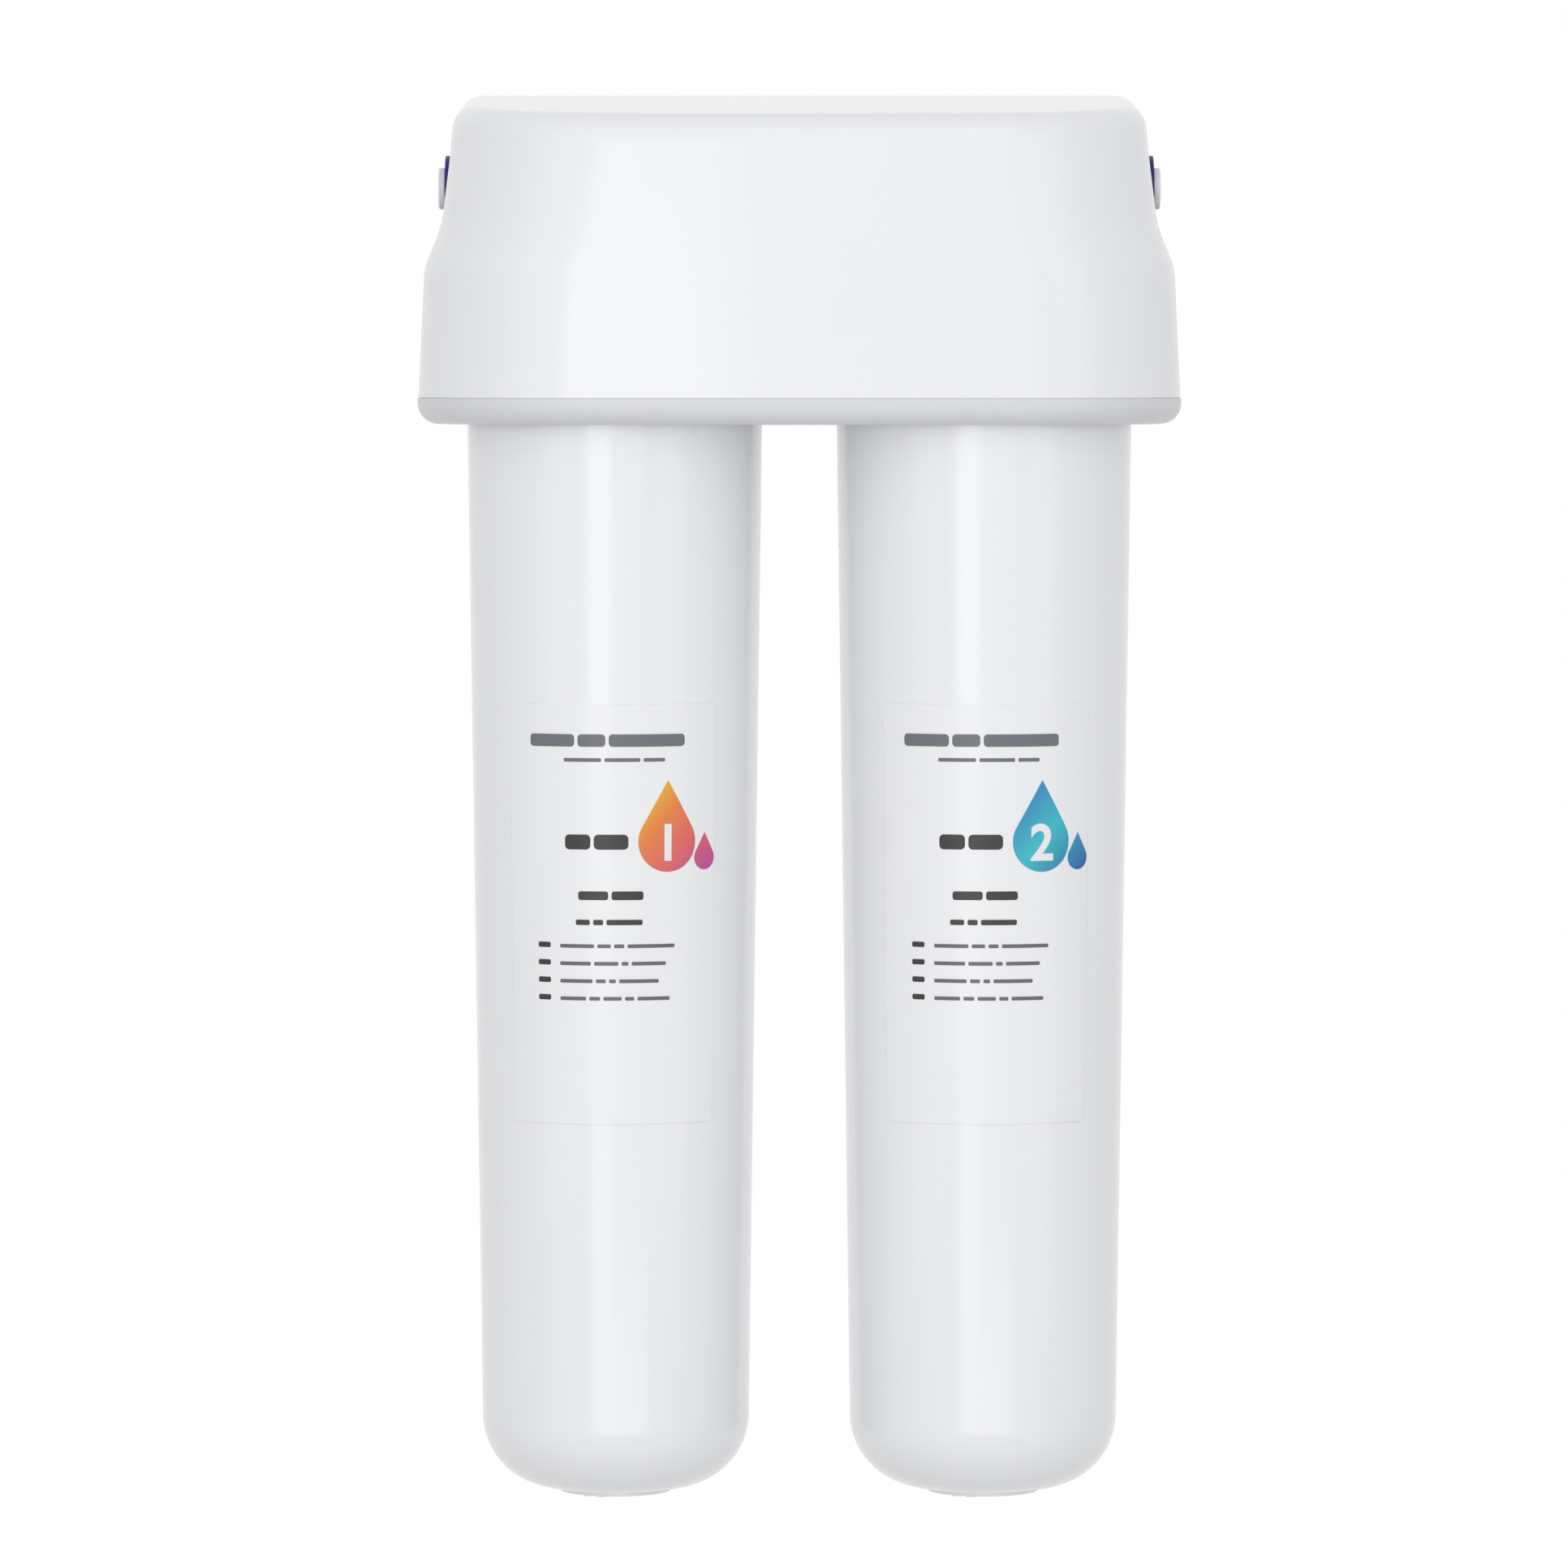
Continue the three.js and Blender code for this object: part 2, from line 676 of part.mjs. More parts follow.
function screw() {
  return turned([
    [0, -screwLength],
    [screwRadius, -screwLength + screwRadius],
    [screwRadius, 0],
    [screwHeadRadius, 0],
    [screwHeadRadius, screwHeadHeight / 2],
    [screwHeadRadius / 2, screwHeadHeight],
    [0, screwHeadHeight],
  ], screwSides);
}

// Bayonet: lugs on the neck ride on ledges in the head, both on the same helix.
const helixRise = unlockDrop / unlockAngle;

function eachLug(make) {
  const turn = 2 * Math.PI / lugCount;
  return Array.from({ length: lugCount }, (_, k) => make(Math.PI / 2 + k * turn));
}

function lugs() {
  const underside = skirtBottom + lugAboveSkirt;
  return eachLug((middle) => {
    const from = middle - lugHalfAngle;
    const to = middle + lugHalfAngle;
    const low = (angle) => underside + helixRise * (angle - middle);
    const high = (angle) => low(angle) + lugHeight;
    const inner = () => neckRadius - lugRoot;
    const outer = () => neckRadius + lugReach;
    return solid(bentBar(inner, outer, from, to, helixSteps, low, high));
  });
}

function ledges() {
  const top = skirtBottom + lugAboveSkirt - gap;
  const inner = () => neckBoreRadius;
  const outer = () => skirtRadius + lugRoot;
  return eachLug((middle) => {
    const from = middle - unlockAngle + lugHalfAngle + ledgeOverlapAngle;
    const to = middle + lugHalfAngle + ledgeOverlapAngle;
    const low = () => skirtBottom;
    const high = (angle) => top + helixRise * (angle - middle);
    const ledge = solid(bentBar(inner, outer, from, to, helixSteps, low, high));
    const roof = () => skirtTop + lugRoot;
    const stop = bentBar(inner, outer, to - ledgeOverlapAngle / 2, to + stopAngle, stopSteps, low, roof);
    return ledge.add(solid(stop));
  });
}

// A cartridge head about its own axis, with its port on the given side.
function cartridgeHead(side) {
  const outside = turned([
    [0, skirtBottom],
    [barrelRadius, skirtBottom],
    [barrelRadius, barrelTop - barrelChamfer],
    [barrelRadius - barrelChamfer, barrelTop],
    [towerRadius, barrelTop],
    [towerRadius, towerTop],
    [0, towerTop],
  ], boreSides);
  const inside = turned([
    [0, skirtBottom - overrun],
    [skirtRadius, skirtBottom - overrun],
    [skirtRadius, skirtTop],
    [neckBoreRadius, skirtTop],
    [neckBoreRadius, galleryTop],
    [nippleBoreRadius, galleryTop],
    [nippleBoreRadius, valveSeat],
    [chamberRadius, valveSeat],
    [chamberRadius, chamberTop],
    [0, chamberTop],
  ], boreSides);
  const atPort = (radius, from, to) => (
    solid(crossRod(radius, from, to, side, portSides).translate(0, portSetback, portLevel)));
  const atPipe = (radius, from, to) => (
    solid(crossRod(radius, from, to, -side, screwSides).translate(0, 0, crossoverLevel)));
  let head = solid(outside).add(atPort(portBossRadius, 0, portBossReach));
  head = head.add(atPipe(crossoverBossRadius, 0, crossoverBossReach));
  head = head.subtract(solid(inside));
  const spigotSeat = portBossReach - portSpigotLength - gap;
  head = head.subtract(atPort(portWaterBore, 0, portBossReach));
  head = head.subtract(atPort(portSpigotRadius + gap, spigotSeat, portBossReach + overrun));
  const pipeSeat = crossoverBossReach - crossoverSeatDepth - gap;
  head = head.subtract(atPipe(crossoverBore, neckRadius, crossoverBossReach));
  head = head.subtract(atPipe(crossoverRadius + gap, pipeSeat, crossoverBossReach + overrun));
  for (const y of [-headScrewSpread, headScrewSpread]) {
    const pilot = rod(screwRadius + gap, barrelTop - pilotDepth, barrelTop + overrun, screwSides);
    head = head.subtract(solid(pilot.translate(0, y, 0)));
  }
  return ledges().reduce((whole, ledge) => whole.add(ledge), head);
}

function crossoverPipe() {
  const reach = filterPitch / 2 - crossoverBossReach + crossoverSeatDepth;
  const pipe = turnedRing([
    [crossoverBore, -reach],
    [crossoverRadius, -reach],
    [crossoverRadius, reach],
    [crossoverBore, reach],
  ], screwSides);
  return closed(alongX(pipe, 1));
}

// Port pieces: their profiles run along the port's axis, from the cartridge head's axis outwards.
function portBody() {
  return turnedRing([
    [portWaterBore, portBossReach - portSpigotLength],
    [portSpigotRadius, portBossReach - portSpigotLength],
    [portSpigotRadius, portBodyStart],
    [portBodyRadius, portBodyStart],
    [portBodyRadius, portBodyStart + portCollarLength],
    [portWaistRadius, portBodyStart + portCollarLength],
    [portWaistRadius, portMouth - portCollarLength],
    [portBodyRadius, portMouth - portCollarLength],
    [portBodyRadius, portMouth],
    [colletBoreRadius, portMouth],
    [colletBoreRadius, portMouth - colletBoreDepth],
    [tubeBoreRadius, portMouth - colletBoreDepth],
    [tubeBoreRadius, portMouth - portGuideDepth],
    [portWaterBore, portMouth - portGuideDepth],
  ], portSides);
}

function portCollet() {
  const flange = portMouth + clipThickness + 2 * gap;
  return turnedRing([
    [tubeBoreRadius, portMouth - colletBarrelLength],
    [colletBarrelRadius, portMouth - colletBarrelLength],
    [colletBarrelRadius, flange],
    [colletFlangeRadius, flange],
    [colletFlangeRadius, flange + colletFlangeLength],
    [tubeBoreRadius, flange + colletFlangeLength],
  ], portSides);
}

function portSeal() {
  const level = portMouth - (colletBarrelLength + colletBoreDepth) / 2;
  return sealRing(tubeBoreRadius, colletBoreRadius, portSealRadius, level);
}

function lockClip() {
  const bore = colletBarrelRadius + gap;
  const shape = new THREE.Shape();
  shape.moveTo(clipRadius, -clipLegDrop);
  shape.lineTo(clipRadius, 0);
  shape.absarc(0, 0, clipRadius, 0, Math.PI);
  shape.lineTo(-clipRadius, -clipLegDrop);
  shape.lineTo(-bore, -clipLegDrop);
  shape.lineTo(-bore, 0);
  shape.absarc(0, 0, bore, Math.PI, 0, true);
  shape.lineTo(bore, -clipLegDrop);
  shape.closePath();
  return closed(plateAcrossX(shape, clipThickness, 0));
}

// Shut-off valve
function valvePoppet() {
  const flangeTop = poppetFlangeUnderside + poppetFlangeThickness;
  return turned([
    [0, poppetBottom],
    [poppetStemRadius, poppetBottom],
    [poppetStemRadius, poppetFlangeUnderside],
    [poppetFlangeRadius, poppetFlangeUnderside],
    [poppetFlangeRadius, flangeTop],
    [poppetPilotRadius, flangeTop],
    [poppetPilotRadius, flangeTop + poppetPilotHeight],
    [0, flangeTop + poppetPilotHeight],
  ], portSides);
}

class Helix extends THREE.Curve {
  constructor(radius, low, high, turns) {
    super();
    Object.assign(this, { radius, low, high, turns });
  }

  getPoint(share, target = new THREE.Vector3()) {
    const angle = share * this.turns * 2 * Math.PI;
    const z = THREE.MathUtils.lerp(this.low, this.high, share);
    return target.set(this.radius * Math.cos(angle), this.radius * Math.sin(angle), z);
  }
}

function valveSpring() {
  const low = poppetFlangeUnderside + poppetFlangeThickness + gap + springWireRadius;
  const high = chamberTop - gap - springWireRadius;
  const wire = new THREE.Shape();
  for (let k = 0; k < springWireSides; k += 1) {
    const angle = k / springWireSides * 2 * Math.PI;
    const at = [springWireRadius * Math.cos(angle), springWireRadius * Math.sin(angle)];
    if (k === 0) {
      wire.moveTo(...at);
    } else {
      wire.lineTo(...at);
    }
  }
  const steps = springTurns * springStepsPerTurn;
  const extrudePath = new Helix(springRadius, low, high, springTurns);
  return new THREE.ExtrudeGeometry(wire, { steps, bevelEnabled: false, extrudePath });
}

// Cartridge
function cartridgeShell() {
  const corner = shellFootRadius - shellCornerRadius;
  const cornerLevel = shellBottom + footHeight + shellCornerRadius;
  const mouth = shellRadiusAt(shellTop);
  const footMeet = Math.acos((footRadius - corner) / shellCornerRadius);
  const arc = (radius, steps, from) => {
    const points = [];
    for (let step = 0; step <= steps; step += 1) {
      const angle = THREE.MathUtils.lerp(from, 0, step / steps);
      points.push([corner + radius * Math.cos(angle), cornerLevel - radius * Math.sin(angle)]);
    }
    return points;
  };
  const inside = arc(shellCornerRadius - shellWall, shellCornerSteps, Math.PI / 2).reverse();
  return turned([
    [0, shellBottom],
    [footRadius, shellBottom],
    ...arc(shellCornerRadius, shellCornerSteps, footMeet),
    [mouth, shellTop],
    [mouth - shellWall, shellTop],
    ...inside,
    [0, inside.at(-1)[1]],
  ], shellSides);
}

// The shell's outer radius at a level on its tapered wall.
function shellRadiusAt(z) {
  const low = shellBottom + footHeight + shellCornerRadius;
  const share = (z - low) / (trayUnderside - low);
  return THREE.MathUtils.lerp(shellFootRadius, shellMouthRadius, share);
}

function cartridgeLid() {
  const mouth = shellRadiusAt(shellTop);
  const flangeUnderside = shellTop + gap;
  const edge = mouth - gap;
  const plug = mouth - shellWall - slideGap;
  const plateUnderside = flangeUnderside - lidPlate;
  const neckSealTop = neckTop - neckSealDrop;
  const nippleSealTop = nippleTop - nippleSealDrop;
  const bossBottom = flangeUnderside - lidBossDepth;
  const lid = turnedRing([
    [nippleBore, nippleTop],
    [nippleRadius, nippleTop],
    [nippleRadius, nippleSealTop],
    [nippleRadius - nippleSealGrooveDepth, nippleSealTop],
    [nippleRadius - nippleSealGrooveDepth, nippleSealTop - nippleSealGrooveWidth],
    [nippleRadius, nippleSealTop - nippleSealGrooveWidth],
    [nippleRadius, neckTop],
    [neckRadius, neckTop],
    [neckRadius, neckSealTop],
    [neckRadius - sealGrooveDepth, neckSealTop],
    [neckRadius - sealGrooveDepth, neckSealTop - sealGrooveWidth],
    [neckRadius, neckSealTop - sealGrooveWidth],
    [neckRadius, lidTop],
    [edge - lidFlangeSlope, flangeUnderside + lidFlangeEdge + lidFlangeSlope],
    [edge, flangeUnderside + lidFlangeEdge],
    [edge, flangeUnderside],
    [plug, flangeUnderside],
    [plug, flangeUnderside - lidPlugDepth],
    [plug - lidPlugWall, flangeUnderside - lidPlugDepth],
    [plug - lidPlugWall, plateUnderside],
    [lidBossRadius, plateUnderside],
    [lidBossRadius, bossBottom],
    [nippleBore, bossBottom],
  ], boreSides);
  let body = lugs().reduce((whole, lug) => whole.add(lug), solid(lid));
  for (let k = 0; k < neckPorts; k += 1) {
    const angle = (k + 1 / 2) / neckPorts * 2 * Math.PI;
    const hole = rod(neckPortRadius, plateUnderside - overrun, neckTop + overrun, screwSides);
    const place = [neckPortCircle * Math.cos(angle), neckPortCircle * Math.sin(angle)];
    body = body.subtract(solid(hole.translate(...place, 0)));
  }
  return body;
}

// An O-ring in the room between an inner wall and the bore round it.
function sealRing(inner, bore, sectionRadius, level) {
  const radius = (inner + bore) / 2;
  return new THREE.TorusGeometry(radius, sectionRadius, sealSectionSides, sealSides).translate(0, 0, level);
}

const coreTop = shellTop - lidBossDepth - coreSpoutHeight - coreCapThickness;
const coreBottom = shellBottom + footHeight + shellWall + gap + coreFootLength + coreCapThickness;

function filterCore() {
  return turnedRing([
    [coreTubeRadius + gap, coreBottom + gap],
    [coreRadius, coreBottom + gap],
    [coreRadius, coreTop - gap],
    [coreTubeRadius + gap, coreTop - gap],
  ], boreSides);
}

function coreTube() {
  return turnedRing([
    [coreTubeRadius - coreTubeWall, coreBottom + gap],
    [coreTubeRadius, coreBottom + gap],
    [coreTubeRadius, coreTop - gap],
    [coreTubeRadius - coreTubeWall, coreTop - gap],
  ], boreSides);
}

function coreTopCap() {
  const rimInside = coreRadius + gap;
  const spout = coreTubeRadius - coreTubeWall;
  const spoutTop = coreTop + coreCapThickness + coreSpoutHeight;
  return turnedRing([
    [nippleBore, coreTop],
    [rimInside, coreTop],
    [rimInside, coreTop - coreCapRim],
    [coreCapRadius, coreTop - coreCapRim],
    [coreCapRadius, coreTop + coreCapThickness],
    [spout, coreTop + coreCapThickness],
    [spout, spoutTop],
    [nippleBore, spoutTop],
  ], boreSides);
}

function coreBottomCap() {
  const rimInside = coreRadius + gap;
  return turned([
    [0, coreBottom - coreCapThickness - coreFootLength],
    [coreFootRadius, coreBottom - coreCapThickness - coreFootLength],
    [coreFootRadius, coreBottom - coreCapThickness],
    [coreCapRadius, coreBottom - coreCapThickness],
    [coreCapRadius, coreBottom + coreCapRim],
    [rimInside, coreBottom + coreCapRim],
    [rimInside, coreBottom],
    [0, coreBottom],
  ], boreSides);
}

function label() {
  const top = trayUnderside - labelBelowTray;
  const inner = (z) => shellRadiusAt(z) + labelLift;
  const outer = (z) => inner(z) + labelThickness;
  const middle = -Math.PI / 2;
  const from = middle - labelHalfAngle;
  const to = middle + labelHalfAngle;
  return bentBar(inner, outer, from, to, labelSteps, () => top - labelHeight, () => top);
}

// Materials
const finish = (color, roughness) => new THREE.MeshStandardMaterial({ color, roughness, metalness: 0 });
const finishes = {
  cover: () => finish(0xeeeff1, 0.25),
  tray: () => finish(0xdadce0, 0.3),
  shell: () => finish(0xecedf0, 0.25),
  structure: () => finish(0xe4e4e2, 0.45),
  collet: () => finish(0xdcdcdc, 0.35),
  clip: () => finish(0x2b2880, 0.35),
  seal: () => finish(0x161616, 0.8),
  media: () => finish(0x4a4a4a, 0.95),
  cap: () => finish(0xf2f2ef, 0.4),
  label: () => finish(0xf1f2f4, 0.4),
  steel: () => new THREE.MeshStandardMaterial({ color: 0xb8b8b8, roughness: 0.3, metalness: 1 }),
};

// Assembly
const filter = new THREE.Group();

function place(parent, name, geometry, look, x = 0, y = 0, z = 0) {
  const mesh = new THREE.Mesh(geometry, finishes[look]());
  mesh.name = name;
  mesh.position.set(x, y, z);
  parent.add(mesh);
}

place(filter, 'head_cover', geometryOf(headCover()), 'cover');
place(filter, 'base_tray', geometryOf(baseTray()), 'tray');
place(filter, 'mounting_bracket', geometryOf(mountingBracket()), 'structure');
place(filter, 'crossover_pipe', crossoverPipe(), 'structure', 0, -filterToWall, crossoverLevel);
for (const [where, x, y] of postPlaces) {
  place(filter, `tray_screw_${where}`, closed(screw()), 'steel', x, y, deckTop + gap);
}
for (const [where, x, y] of headScrewPlaces) {
  place(filter, `head_screw_${where}`, closed(screw()), 'steel', x, y, deckTop + gap);
}

for (const [hand, port, side] of [['left', 'inlet', -1], ['right', 'outlet', 1]]) {
  const unit = new THREE.Group();
  unit.position.set(side * filterPitch / 2, -filterToWall, 0);
  filter.add(unit);

  place(unit, `${hand}_cartridge_head`, geometryOf(cartridgeHead(side)), 'structure');
  place(unit, `${hand}_valve_poppet`, closed(valvePoppet()), 'cap');
  place(unit, `${hand}_valve_spring`, closed(valveSpring()), 'steel');

  place(unit, `${port}_port_body`, closed(alongX(portBody(), side)), 'structure', 0, portSetback, portLevel);
  place(unit, `${port}_seal`, closed(alongX(portSeal(), side)), 'seal', 0, portSetback, portLevel);
  place(unit, `${port}_collet`, closed(alongX(portCollet(), side)), 'collet', 0, portSetback, portLevel);
  const clipPlace = side * (portMouth + gap + clipThickness / 2);
  place(unit, `${port}_lock_clip`, lockClip(), 'clip', clipPlace, portSetback, portLevel);

  const neckSealLevel = neckTop - neckSealDrop - sealGrooveWidth / 2;
  const nippleSealLevel = nippleTop - nippleSealDrop - nippleSealGrooveWidth / 2;
  const neckSeal = sealRing(neckRadius - sealGrooveDepth, neckBoreRadius, sealSectionRadius, neckSealLevel);
  const nippleSeal = sealRing(
    nippleRadius - nippleSealGrooveDepth, nippleBoreRadius, nippleSealSectionRadius, nippleSealLevel);
  place(unit, `${hand}_cartridge_shell`, closed(cartridgeShell()), 'shell');
  place(unit, `${hand}_cartridge_lid`, geometryOf(cartridgeLid()), 'shell');
  place(unit, `${hand}_neck_seal`, closed(neckSeal), 'seal');
  place(unit, `${hand}_nipple_seal`, closed(nippleSeal), 'seal');
  place(unit, `${hand}_core_top_cap`, closed(coreTopCap()), 'cap');
  place(unit, `${hand}_filter_core`, closed(filterCore()), 'media');
  place(unit, `${hand}_core_tube`, closed(coreTube()), 'cap');
  place(unit, `${hand}_core_bottom_cap`, closed(coreBottomCap()), 'cap');
  place(unit, `${hand}_label`, label(), 'label');
}

export default filter;
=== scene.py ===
"""Looks of the under sink water filter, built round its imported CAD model."""
import json
from math import acos, asin, atan2, cos, pi, radians, sin, sqrt, tan

import bmesh
import bpy
import numpy as np
from mathutils import Matrix, Vector


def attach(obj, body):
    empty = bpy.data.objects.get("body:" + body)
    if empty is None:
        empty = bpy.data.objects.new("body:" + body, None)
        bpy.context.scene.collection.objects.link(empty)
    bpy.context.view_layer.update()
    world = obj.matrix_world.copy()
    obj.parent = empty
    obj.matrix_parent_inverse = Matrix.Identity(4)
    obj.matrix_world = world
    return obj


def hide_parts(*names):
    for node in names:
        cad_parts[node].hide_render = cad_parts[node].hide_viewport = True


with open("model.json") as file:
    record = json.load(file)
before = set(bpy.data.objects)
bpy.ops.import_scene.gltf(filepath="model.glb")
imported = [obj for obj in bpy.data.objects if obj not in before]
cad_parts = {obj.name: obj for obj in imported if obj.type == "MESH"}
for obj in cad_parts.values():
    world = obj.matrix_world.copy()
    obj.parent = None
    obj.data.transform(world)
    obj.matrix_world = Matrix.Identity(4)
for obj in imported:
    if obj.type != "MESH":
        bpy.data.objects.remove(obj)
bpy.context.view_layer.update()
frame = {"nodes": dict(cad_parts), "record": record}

scene = bpy.context.scene
MM = 0.001

# Sizes in millimetres and angles in radians, as in the CAD model
gap = 0.3
slide_gap = 0.4
overrun = 1.0

shell_mouth_radius = 35.7
filter_pitch = 89.5
filter_to_wall = 45.0

head_half_width = 92.5
head_depth = 90.0
head_corner_radius = 43.0
head_bow_radius = 750.0
head_rear_gap = 0.6

crown_round = 5.8
crown_fall = 7.4
shoulder_half_width = 91.0
scoop_half_width = 86.3
crown_half_width = 84.0
front_draft = 1.2
cover_wall = 2.5
scoop_power = 1.6

tray_height = 6.3
tray_edge_radius = 5.0
tray_floor = 3.0
tray_lip_wall = 2.0
tray_lip_height = 5.0
tray_rear_wall = 2.0
tray_hole_radius = shell_mouth_radius + 0.8
post_radius = 4.0
front_post_to_wall = 76.0
rear_post_to_wall = 12.0
rear_post_spread = 78.0

bracket_half_width = 81.2
bracket_thickness = 4.0
bracket_top = 16.0
bracket_corner = 5.0
keyhole_spread = 50.0
keyhole_head_radius = 4.5
keyhole_slot_radius = 2.5
keyhole_slot_rise = 8.0
deck_reach = 80.0
deck_corner = 34.0
deck_slot_radius = 14.0
rib_height = 14.0
rib_reach = 24.0
rib_thickness = 3.0
rib_spread = 18.0

screw_radius = 1.5
screw_length = 12.0
screw_head_radius = 3.2
screw_head_height = 2.0
pilot_depth = 11.0

nipple_radius = 7.0
nipple_bore = 4.0
neck_radius = 15.0
neck_bore_radius = 15.5
nipple_bore_radius = 7.5
seal_groove_depth = 1.6
seal_groove_width = 2.4
neck_seal_drop = 2.8
nipple_seal_groove_depth = 1.1
nipple_seal_groove_width = 2.0
nipple_seal_drop = 1.5
neck_port_radius = 2.0
neck_port_circle = 10.8
neck_ports = 4
lid_flange_edge = 0.8
lid_flange_slope = 0.8
lid_plug_depth = 4.3
lid_plug_wall = 5.0
lid_plate = 2.3
lid_boss_radius = 9.0
lid_boss_depth = 6.0

lug_reach = 4.0
lug_height = 3.5
lug_above_skirt = 6.5
lug_root = 1.0
unlock_drop = 5.0
lug_count = 3
unlock_angle = radians(60)
lug_half_angle = radians(14)
ledge_overlap_angle = radians(2)
stop_angle = radians(6)

barrel_radius = 23.0
barrel_chamfer = 1.5
skirt_radius = 19.5
chamber_radius = 10.0
tower_radius = 13.0
head_screw_spread = 18.5
crossover_radius = 4.2
crossover_bore = 2.8
crossover_boss_radius = 6.0
crossover_boss_reach = 26.0
crossover_seat_depth = 3.5

port_setback = 7.0
port_to_wall = filter_to_wall - port_setback
port_water_bore = 2.4
port_spigot_radius = 5.0
port_spigot_length = 5.7
port_boss_radius = 8.5
port_boss_reach = 17.5
port_body_radius = 8.0
port_waist_radius = 6.9
port_collar_length = 5.0
tube_bore_radius = 3.3
collet_barrel_radius = 4.3
collet_barrel_length = 8.0
collet_flange_radius = 5.0
collet_flange_length = 1.4
collet_bore_radius = 4.7
collet_bore_depth = 11.0
port_guide_depth = 17.0
port_mouth = 39.25
clip_thickness = 1.6
clip_radius = 8.0
clip_leg_drop = 2.4
port_window_radius = 13.2
port_window_rise = 3.7
cheek_below_port = 7.0
cheek_inset = 0.2

poppet_stem_radius = 6.5
poppet_flange_radius = 9.2
poppet_flange_thickness = 3.0
poppet_pilot_radius = 3.0
poppet_pilot_height = 3.0

shell_foot_radius = 32.45
shell_wall = 2.3
shell_corner_radius = 17.5
foot_radius = 13.8
foot_height = 1.5

label_height = 100.6
label_thickness = 0.2
label_lift = 0.05
label_half_angle = radians(44.5)

# Levels, as in the CAD model
deck_top = -8.7
deck_underside = -11.7
barrel_top = -12.0
gallery_top = -14.7
neck_top = -21.7
lid_top = -42.7
skirt_bottom = -42.0
skirt_top = -30.0
shell_top = -46.0
tray_underside = -55.0
tray_seam = tray_underside + tray_height
tray_floor_top = tray_underside + tray_floor
shell_bottom = -315.1
crossover_level = -18.2
nipple_top = -9.7
valve_seat = -7.0
poppet_bottom = nipple_top + gap
poppet_flange_underside = valve_seat + unlock_drop + gap
port_level = 2.0
chamber_top = 12.0
tower_top = 15.0
crown_level = 20.0
scoop_top = -2.5
shoulder_level = -16.6
label_top = -121.7

# Details that only the looks have. An edge is the radius of a rounded edge.
seam_gap = 0.02
seam_edge = 0.18
shoulder_softness = 3.5
crown_insets = (0.8, 3.0, 12.0)
cheek_foot = 0.5
tray_inner_ring = 1.0
tray_hole_edge = 0.8
weld = 1.5
post_edge = 0.4
plate_edge = 0.4
deck_edge = 0.3
socket_edge = 0.8
pipe_edge = 0.3
port_edge = 0.5
collet_edge = 0.45
collet_seat = 0.05
clip_edge = 0.25
poppet_edge = 0.4
lid_edge = 0.25
foot_edge = 0.35
foot_bar_height = 0.25
foot_bar_width = 2.5
foot_bar_rear = 7.0
foot_bar_places = ((-6.4, 11.1), (-3.2, 12.7))
foot_bar_edge = 0.08
foot_bar_root = 0.5

thread_pitch = 0.8
thread_depth = 0.27
thread_start = 1.8
thread_end = 0.6
screw_edge = 0.2
screw_crown = 1.6
screw_crown_start = 0.4
cross_slot_length = 3.8
cross_slot_width = 0.7
cross_slot_depth = 1.1

# A corner flatter than this stays as it is, and a rounding takes at most this share of a side
nearly_straight = radians(165)
rounding_share = 0.45

HANDS = (("left", "inlet", -1), ("right", "outlet", 1))

# Places of the screws seen from above, by the name of each screw's node
tray_screw_places = {
    "tray_screw_front": (0, -front_post_to_wall),
    "tray_screw_left": (-rear_post_spread, -rear_post_to_wall),
    "tray_screw_right": (rear_post_spread, -rear_post_to_wall),
}
screw_places = tray_screw_places | {
    f"head_screw_{hand}_{end}": (side * filter_pitch / 2, -filter_to_wall + way * head_screw_spread)
    for hand, _, side in HANDS for end, way in (("front", -1), ("rear", 1))
}


# Mesh helpers. Points and lengths are in millimetres and become metres in the mesh.

def new_object(name, data):
    obj = bpy.data.objects.new(name, data)
    scene.collection.objects.link(obj)
    return obj


def mesh_object(name, points, faces):
    mesh = bpy.data.meshes.new(name)
    mesh.from_pydata([Vector(p) * MM for p in points], [], faces)
    work = bmesh.new()
    work.from_mesh(mesh)
    bmesh.ops.recalc_face_normals(work, faces=work.faces)
    work.to_mesh(mesh)
    work.free()
    return new_object(name, mesh)


def moved(obj, x=0, y=0, z=0):
    obj.data.transform(Matrix.Translation(Vector((x, y, z)) * MM))
    return obj


def along_x(obj, side):
    obj.data.transform(Matrix.Rotation(side * pi / 2, 4, "Y"))
    return obj


def across_x(obj):
    """A shape drawn in XY with its thickness along Z, turned so that it lies in YZ."""
    obj.data.transform(Matrix(((0, 0, 1, 0), (1, 0, 0, 0), (0, 1, 0, 0), (0, 0, 0, 1))))
    return obj


def upright(obj):
    """A shape drawn in XY with its thickness along Z, turned so that it lies in XZ."""
    obj.data.transform(Matrix.Rotation(pi / 2, 4, "X"))
    return obj


def arc(centre, radius, start, end, steps):
    angles = np.linspace(start, end, steps + 1)
    return [(centre[0] + radius * cos(a), centre[1] + radius * sin(a)) for a in angles]


def quarter_round(edge, level, steps=3, way=1):
    """Insets and levels of a rounded rim that starts at a level. With way -1 it is an upper rim."""
    turns = np.linspace(0, pi / 2, steps + 1)
    return [(edge * (1 - sin(t)), level + way * edge * (1 - cos(t))) for t in turns]


